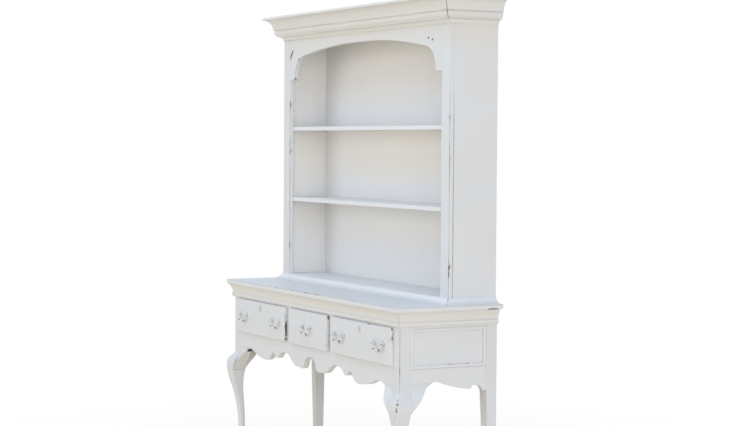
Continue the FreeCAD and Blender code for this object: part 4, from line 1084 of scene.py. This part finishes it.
# Operators

class DRESSER_OT_paint_case(bpy.types.Operator):
    """Paint the base: legs, rails, aprons, panels, table top and its moulding"""

    bl_idname = "dresser.paint_case"
    bl_label = "Paint the case"

    def execute(self, context):
        # Legs a little darker: painted shade.
        legs = paint_material(
            "paint_legs", "z", LEG_EDGE_SPOTS, LEG_MARKS, grime_share=0.15, painted_light_share=0.97,
        )
        give(legs, (
            "leg_front_left", "leg_front_right", "leg_rear_left", "leg_rear_right", "knee_blocks",
            "drawer_divider_left", "drawer_divider_right",
        ))
        give(paint_material("paint_front_rails", "x"), ("front_apron", "base_back"))
        # Top rail lighter: painted light in the dark gap over the drawers.
        give(paint_material("paint_top_rail", "x", painted_light_share=1.2), ("front_top_rail",))
        give(paint_material("paint_sides", "y", marks=SIDE_MARKS), (
            "side_top_rails", "side_apron_left", "side_apron_right", "side_panel_left",
            "side_panel_right", "side_panel_beads",
        ))
        # The moulding's returns and front get yellowing with painted warm bounce light.
        returns = paint_material("paint_moulding_returns", "y", aged_and_warm_light=MOULDING_AGED_AND_WARM_LIGHT)
        give(returns, ("top_moulding_returns",))
        rim = (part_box("table_top"), "xy", ("z", "high"), TABLE_RIM)
        table = paint_material(
            "paint_table", "x", TABLE_EDGE_SPOTS, TABLE_MARKS, rim, grime_share=1.7,
        )
        give(table, ("table_top",))
        moulding = paint_material("paint_table_moulding", "x", aged_and_warm_light=MOULDING_AGED_AND_WARM_LIGHT)
        give(moulding, ("top_moulding_front",))
        return {"FINISHED"}


class DRESSER_OT_paint_rack(bpy.types.Operator):
    """Paint the rack: sides, back, shelves, face frame, skirt and cornice"""

    bl_idname = "dresser.paint_rack"
    bl_label = "Paint the rack"

    def execute(self, context):
        # Yellowing with painted warm light over the cornice and the rack.
        aged_and_warm_light = CORNICE_AGED_AND_WARM_LIGHT + RACK_AGED_AND_WARM_LIGHT
        # Face frame a little darker: painted shade.
        face = paint_material(
            "paint_rack_frame", "z", RACK_EDGE_SPOTS, RACK_MARKS, painted_light_share=0.985, aged_and_warm_light=aged_and_warm_light,
        )
        give(face, ("rack_stile_left", "rack_stile_right", "arch_header", "rack_side_right"))
        # Left side lighter: painted light on the rack's inner left wall.
        side = paint_material("paint_rack_side", "z", painted_light_share=1.12, aged_and_warm_light=aged_and_warm_light)
        give(side, ("rack_side_left",))
        # Shelves, roof, floor and skirt lighter: painted light in the rack.
        give(paint_material("paint_rack_boards", "x", painted_light_share=1.07), (
            "shelf_upper", "shelf_lower", "rack_roof", "rack_floor", "rack_skirt_front",
        ))
        # Back lighter: painted light inside the rack.
        back = paint_material("paint_rack_back", "z", painted_light_share=1.14, aged_and_warm_light=RACK_AGED_AND_WARM_LIGHT)
        give(back, ("rack_back",))
        cornice = paint_material("paint_cornice", "x", CORNICE_EDGE_SPOTS, aged_and_warm_light=CORNICE_AGED_AND_WARM_LIGHT)
        give(cornice, ("cornice_front",))
        returns = paint_material("paint_returns", "y", CORNICE_EDGE_SPOTS, aged_and_warm_light=CORNICE_AGED_AND_WARM_LIGHT)
        give(returns, ("cornice_returns", "rack_skirt_returns"))
        return {"FINISHED"}


class DRESSER_OT_drawers(bpy.types.Operator):
    """Paint the drawer fronts, and leave the boxes, runners and kickers bare"""

    bl_idname = "dresser.drawers"
    bl_label = "Finish the drawers"

    def execute(self, context):
        for name in DRAWERS:
            front = f"drawer_{name}_front"
            rim = (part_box(front), "xz", ("y", "low"), DRAWER_RIM)
            # Drawer fronts a little darker: painted shade.
            paint = paint_material(
                f"paint_drawer_{name}", "x", DRAWER_EDGE_SPOTS, DRAWER_MARKS_AND_GAP_SHADE, rim,
                grime_share=0.6, painted_light_share=0.985,
            )
            give(paint, (front,))
        give(wood_material("wood_lengthwise", "y"), (
            *(f"drawer_{name}_sides" for name in DRAWERS), "drawer_runners", "drawer_kickers",
        ))
        give(wood_material("wood_crosswise", "x"), (
            *(f"drawer_{name}_{board}" for name in DRAWERS for board in ("back", "bottom")),
        ))
        return {"FINISHED"}


def pulls_of(drawer):
    """Places of the pulls on one drawer."""
    return [pull for parent, pull in PULLS.values() if parent == drawer]


class DRESSER_OT_plates(bpy.types.Operator):
    """Make the shaped backplates of the pulls"""

    bl_idname = "dresser.plates"
    bl_label = "Make the pull plates"

    def execute(self, context):
        settings = context.scene.dresser_pulls
        material = metal_material("metal_plates", PLATE_COVER)
        for name in DRAWERS:
            drawer, node = f"drawer_{name}", f"pull_plates_{name}"
            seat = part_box(node)[1].y
            patches = [plate_patch(settings, pull, seat) for pull in pulls_of(drawer)]
            surface(f"plates_{name}", patches, material, drawer, "pull_metal", [node])
        return {"FINISHED"}


class DRESSER_OT_posts(bpy.types.Operator):
    """Make the turned posts with their rosettes"""

    bl_idname = "dresser.posts"
    bl_label = "Make the pull posts"

    def execute(self, context):
        settings = context.scene.dresser_pulls
        for name in DRAWERS:
            material = metal_material(f"metal_posts_{name}", POST_COVER[name])
            drawer, node = f"drawer_{name}", f"pull_posts_{name}"
            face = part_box(node)[1].y
            patches = [
                post_patch(pull.x + side * settings.post_span / 2, pull.z, face)
                for pull in pulls_of(drawer) for side in (-1, 1)
            ]
            surface(f"posts_{name}", patches, material, drawer, "pull_metal", [node])
        return {"FINISHED"}


class DRESSER_OT_bails(bpy.types.Operator):
    """Make the swinging bails"""

    bl_idname = "dresser.bails"
    bl_label = "Make the bails"

    def execute(self, context):
        settings = context.scene.dresser_pulls
        materials = {
            f"drawer_{name}": metal_material(f"metal_bails_{name}", BAIL_COVER[name])
            for name in DRAWERS
        }
        for body, (drawer, pull) in PULLS.items():
            patches = [bail_patch(settings, pull)]
            surface(f"{body}_rod", patches, materials[drawer], body, "pull_metal", [body])
        return {"FINISHED"}


class DRESSER_OT_keyholes(bpy.types.Operator):
    """Make the oval keyhole plates"""

    bl_idname = "dresser.keyholes"
    bl_label = "Make the keyhole plates"

    def execute(self, context):
        material = metal_material("metal_keyholes", KEYHOLE_COVER)
        for name in ("left", "right"):
            drawer, node = f"drawer_{name}", f"escutcheon_{name}"
            patches = [keyhole_patch(*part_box(node))]
            surface(f"keyhole_{name}", patches, material, drawer, "pull_metal", [node])
        return {"FINISHED"}


class DRESSER_OT_stage(bpy.types.Operator):
    """Lay the floor, hang the lamps and set the camera"""

    bl_idname = "dresser.stage"
    bl_label = "Set the stage"

    def execute(self, context):
        settings = context.scene.dresser_stage
        make_floor(settings)
        make_world(settings)
        for name, lamp in LAMPS.items():
            make_lamp(name, getattr(settings, name), *lamp)
        make_camera(settings)
        context.scene.view_settings.view_transform = "Standard"
        return {"FINISHED"}


class DRESSER_PT_sidebar(bpy.types.Panel):
    """Steps and settings of the dresser"""

    bl_label = "Dresser"
    bl_space_type = "VIEW_3D"
    bl_region_type = "UI"
    bl_category = "Dresser"

    def draw(self, context):
        for step in STEPS:
            self.layout.operator(step.bl_idname)
        for group in GROUPS:
            settings = getattr(context.scene, group)
            column = self.layout.column(align=True)
            for name in settings.__annotations__:
                column.prop(settings, name)


STEPS = (
    DRESSER_OT_paint_case,
    DRESSER_OT_paint_rack,
    DRESSER_OT_drawers,
    DRESSER_OT_plates,
    DRESSER_OT_posts,
    DRESSER_OT_bails,
    DRESSER_OT_keyholes,
    DRESSER_OT_stage,
)
GROUPS = {
    "dresser_finish": DresserFinish,
    "dresser_pulls": DresserPulls,
    "dresser_stage": DresserStage,
}


def register():
    for group in GROUPS.values():
        bpy.utils.register_class(group)
    for name, group in GROUPS.items():
        setattr(bpy.types.Scene, name, bpy.props.PointerProperty(type=group))
    for step in STEPS:
        bpy.utils.register_class(step)
    bpy.utils.register_class(DRESSER_PT_sidebar)


def unregister():
    bpy.utils.unregister_class(DRESSER_PT_sidebar)
    for step in reversed(STEPS):
        bpy.utils.unregister_class(step)
    for name, group in GROUPS.items():
        delattr(bpy.types.Scene, name)
        bpy.utils.unregister_class(group)


def main():
    register()
    bpy.ops.dresser.paint_case()
    bpy.ops.dresser.paint_rack()
    bpy.ops.dresser.drawers()
    bpy.ops.dresser.plates()
    bpy.ops.dresser.posts()
    bpy.ops.dresser.bails()
    bpy.ops.dresser.keyholes()
    bpy.ops.dresser.stage()


if __name__ == "__main__":
    main()
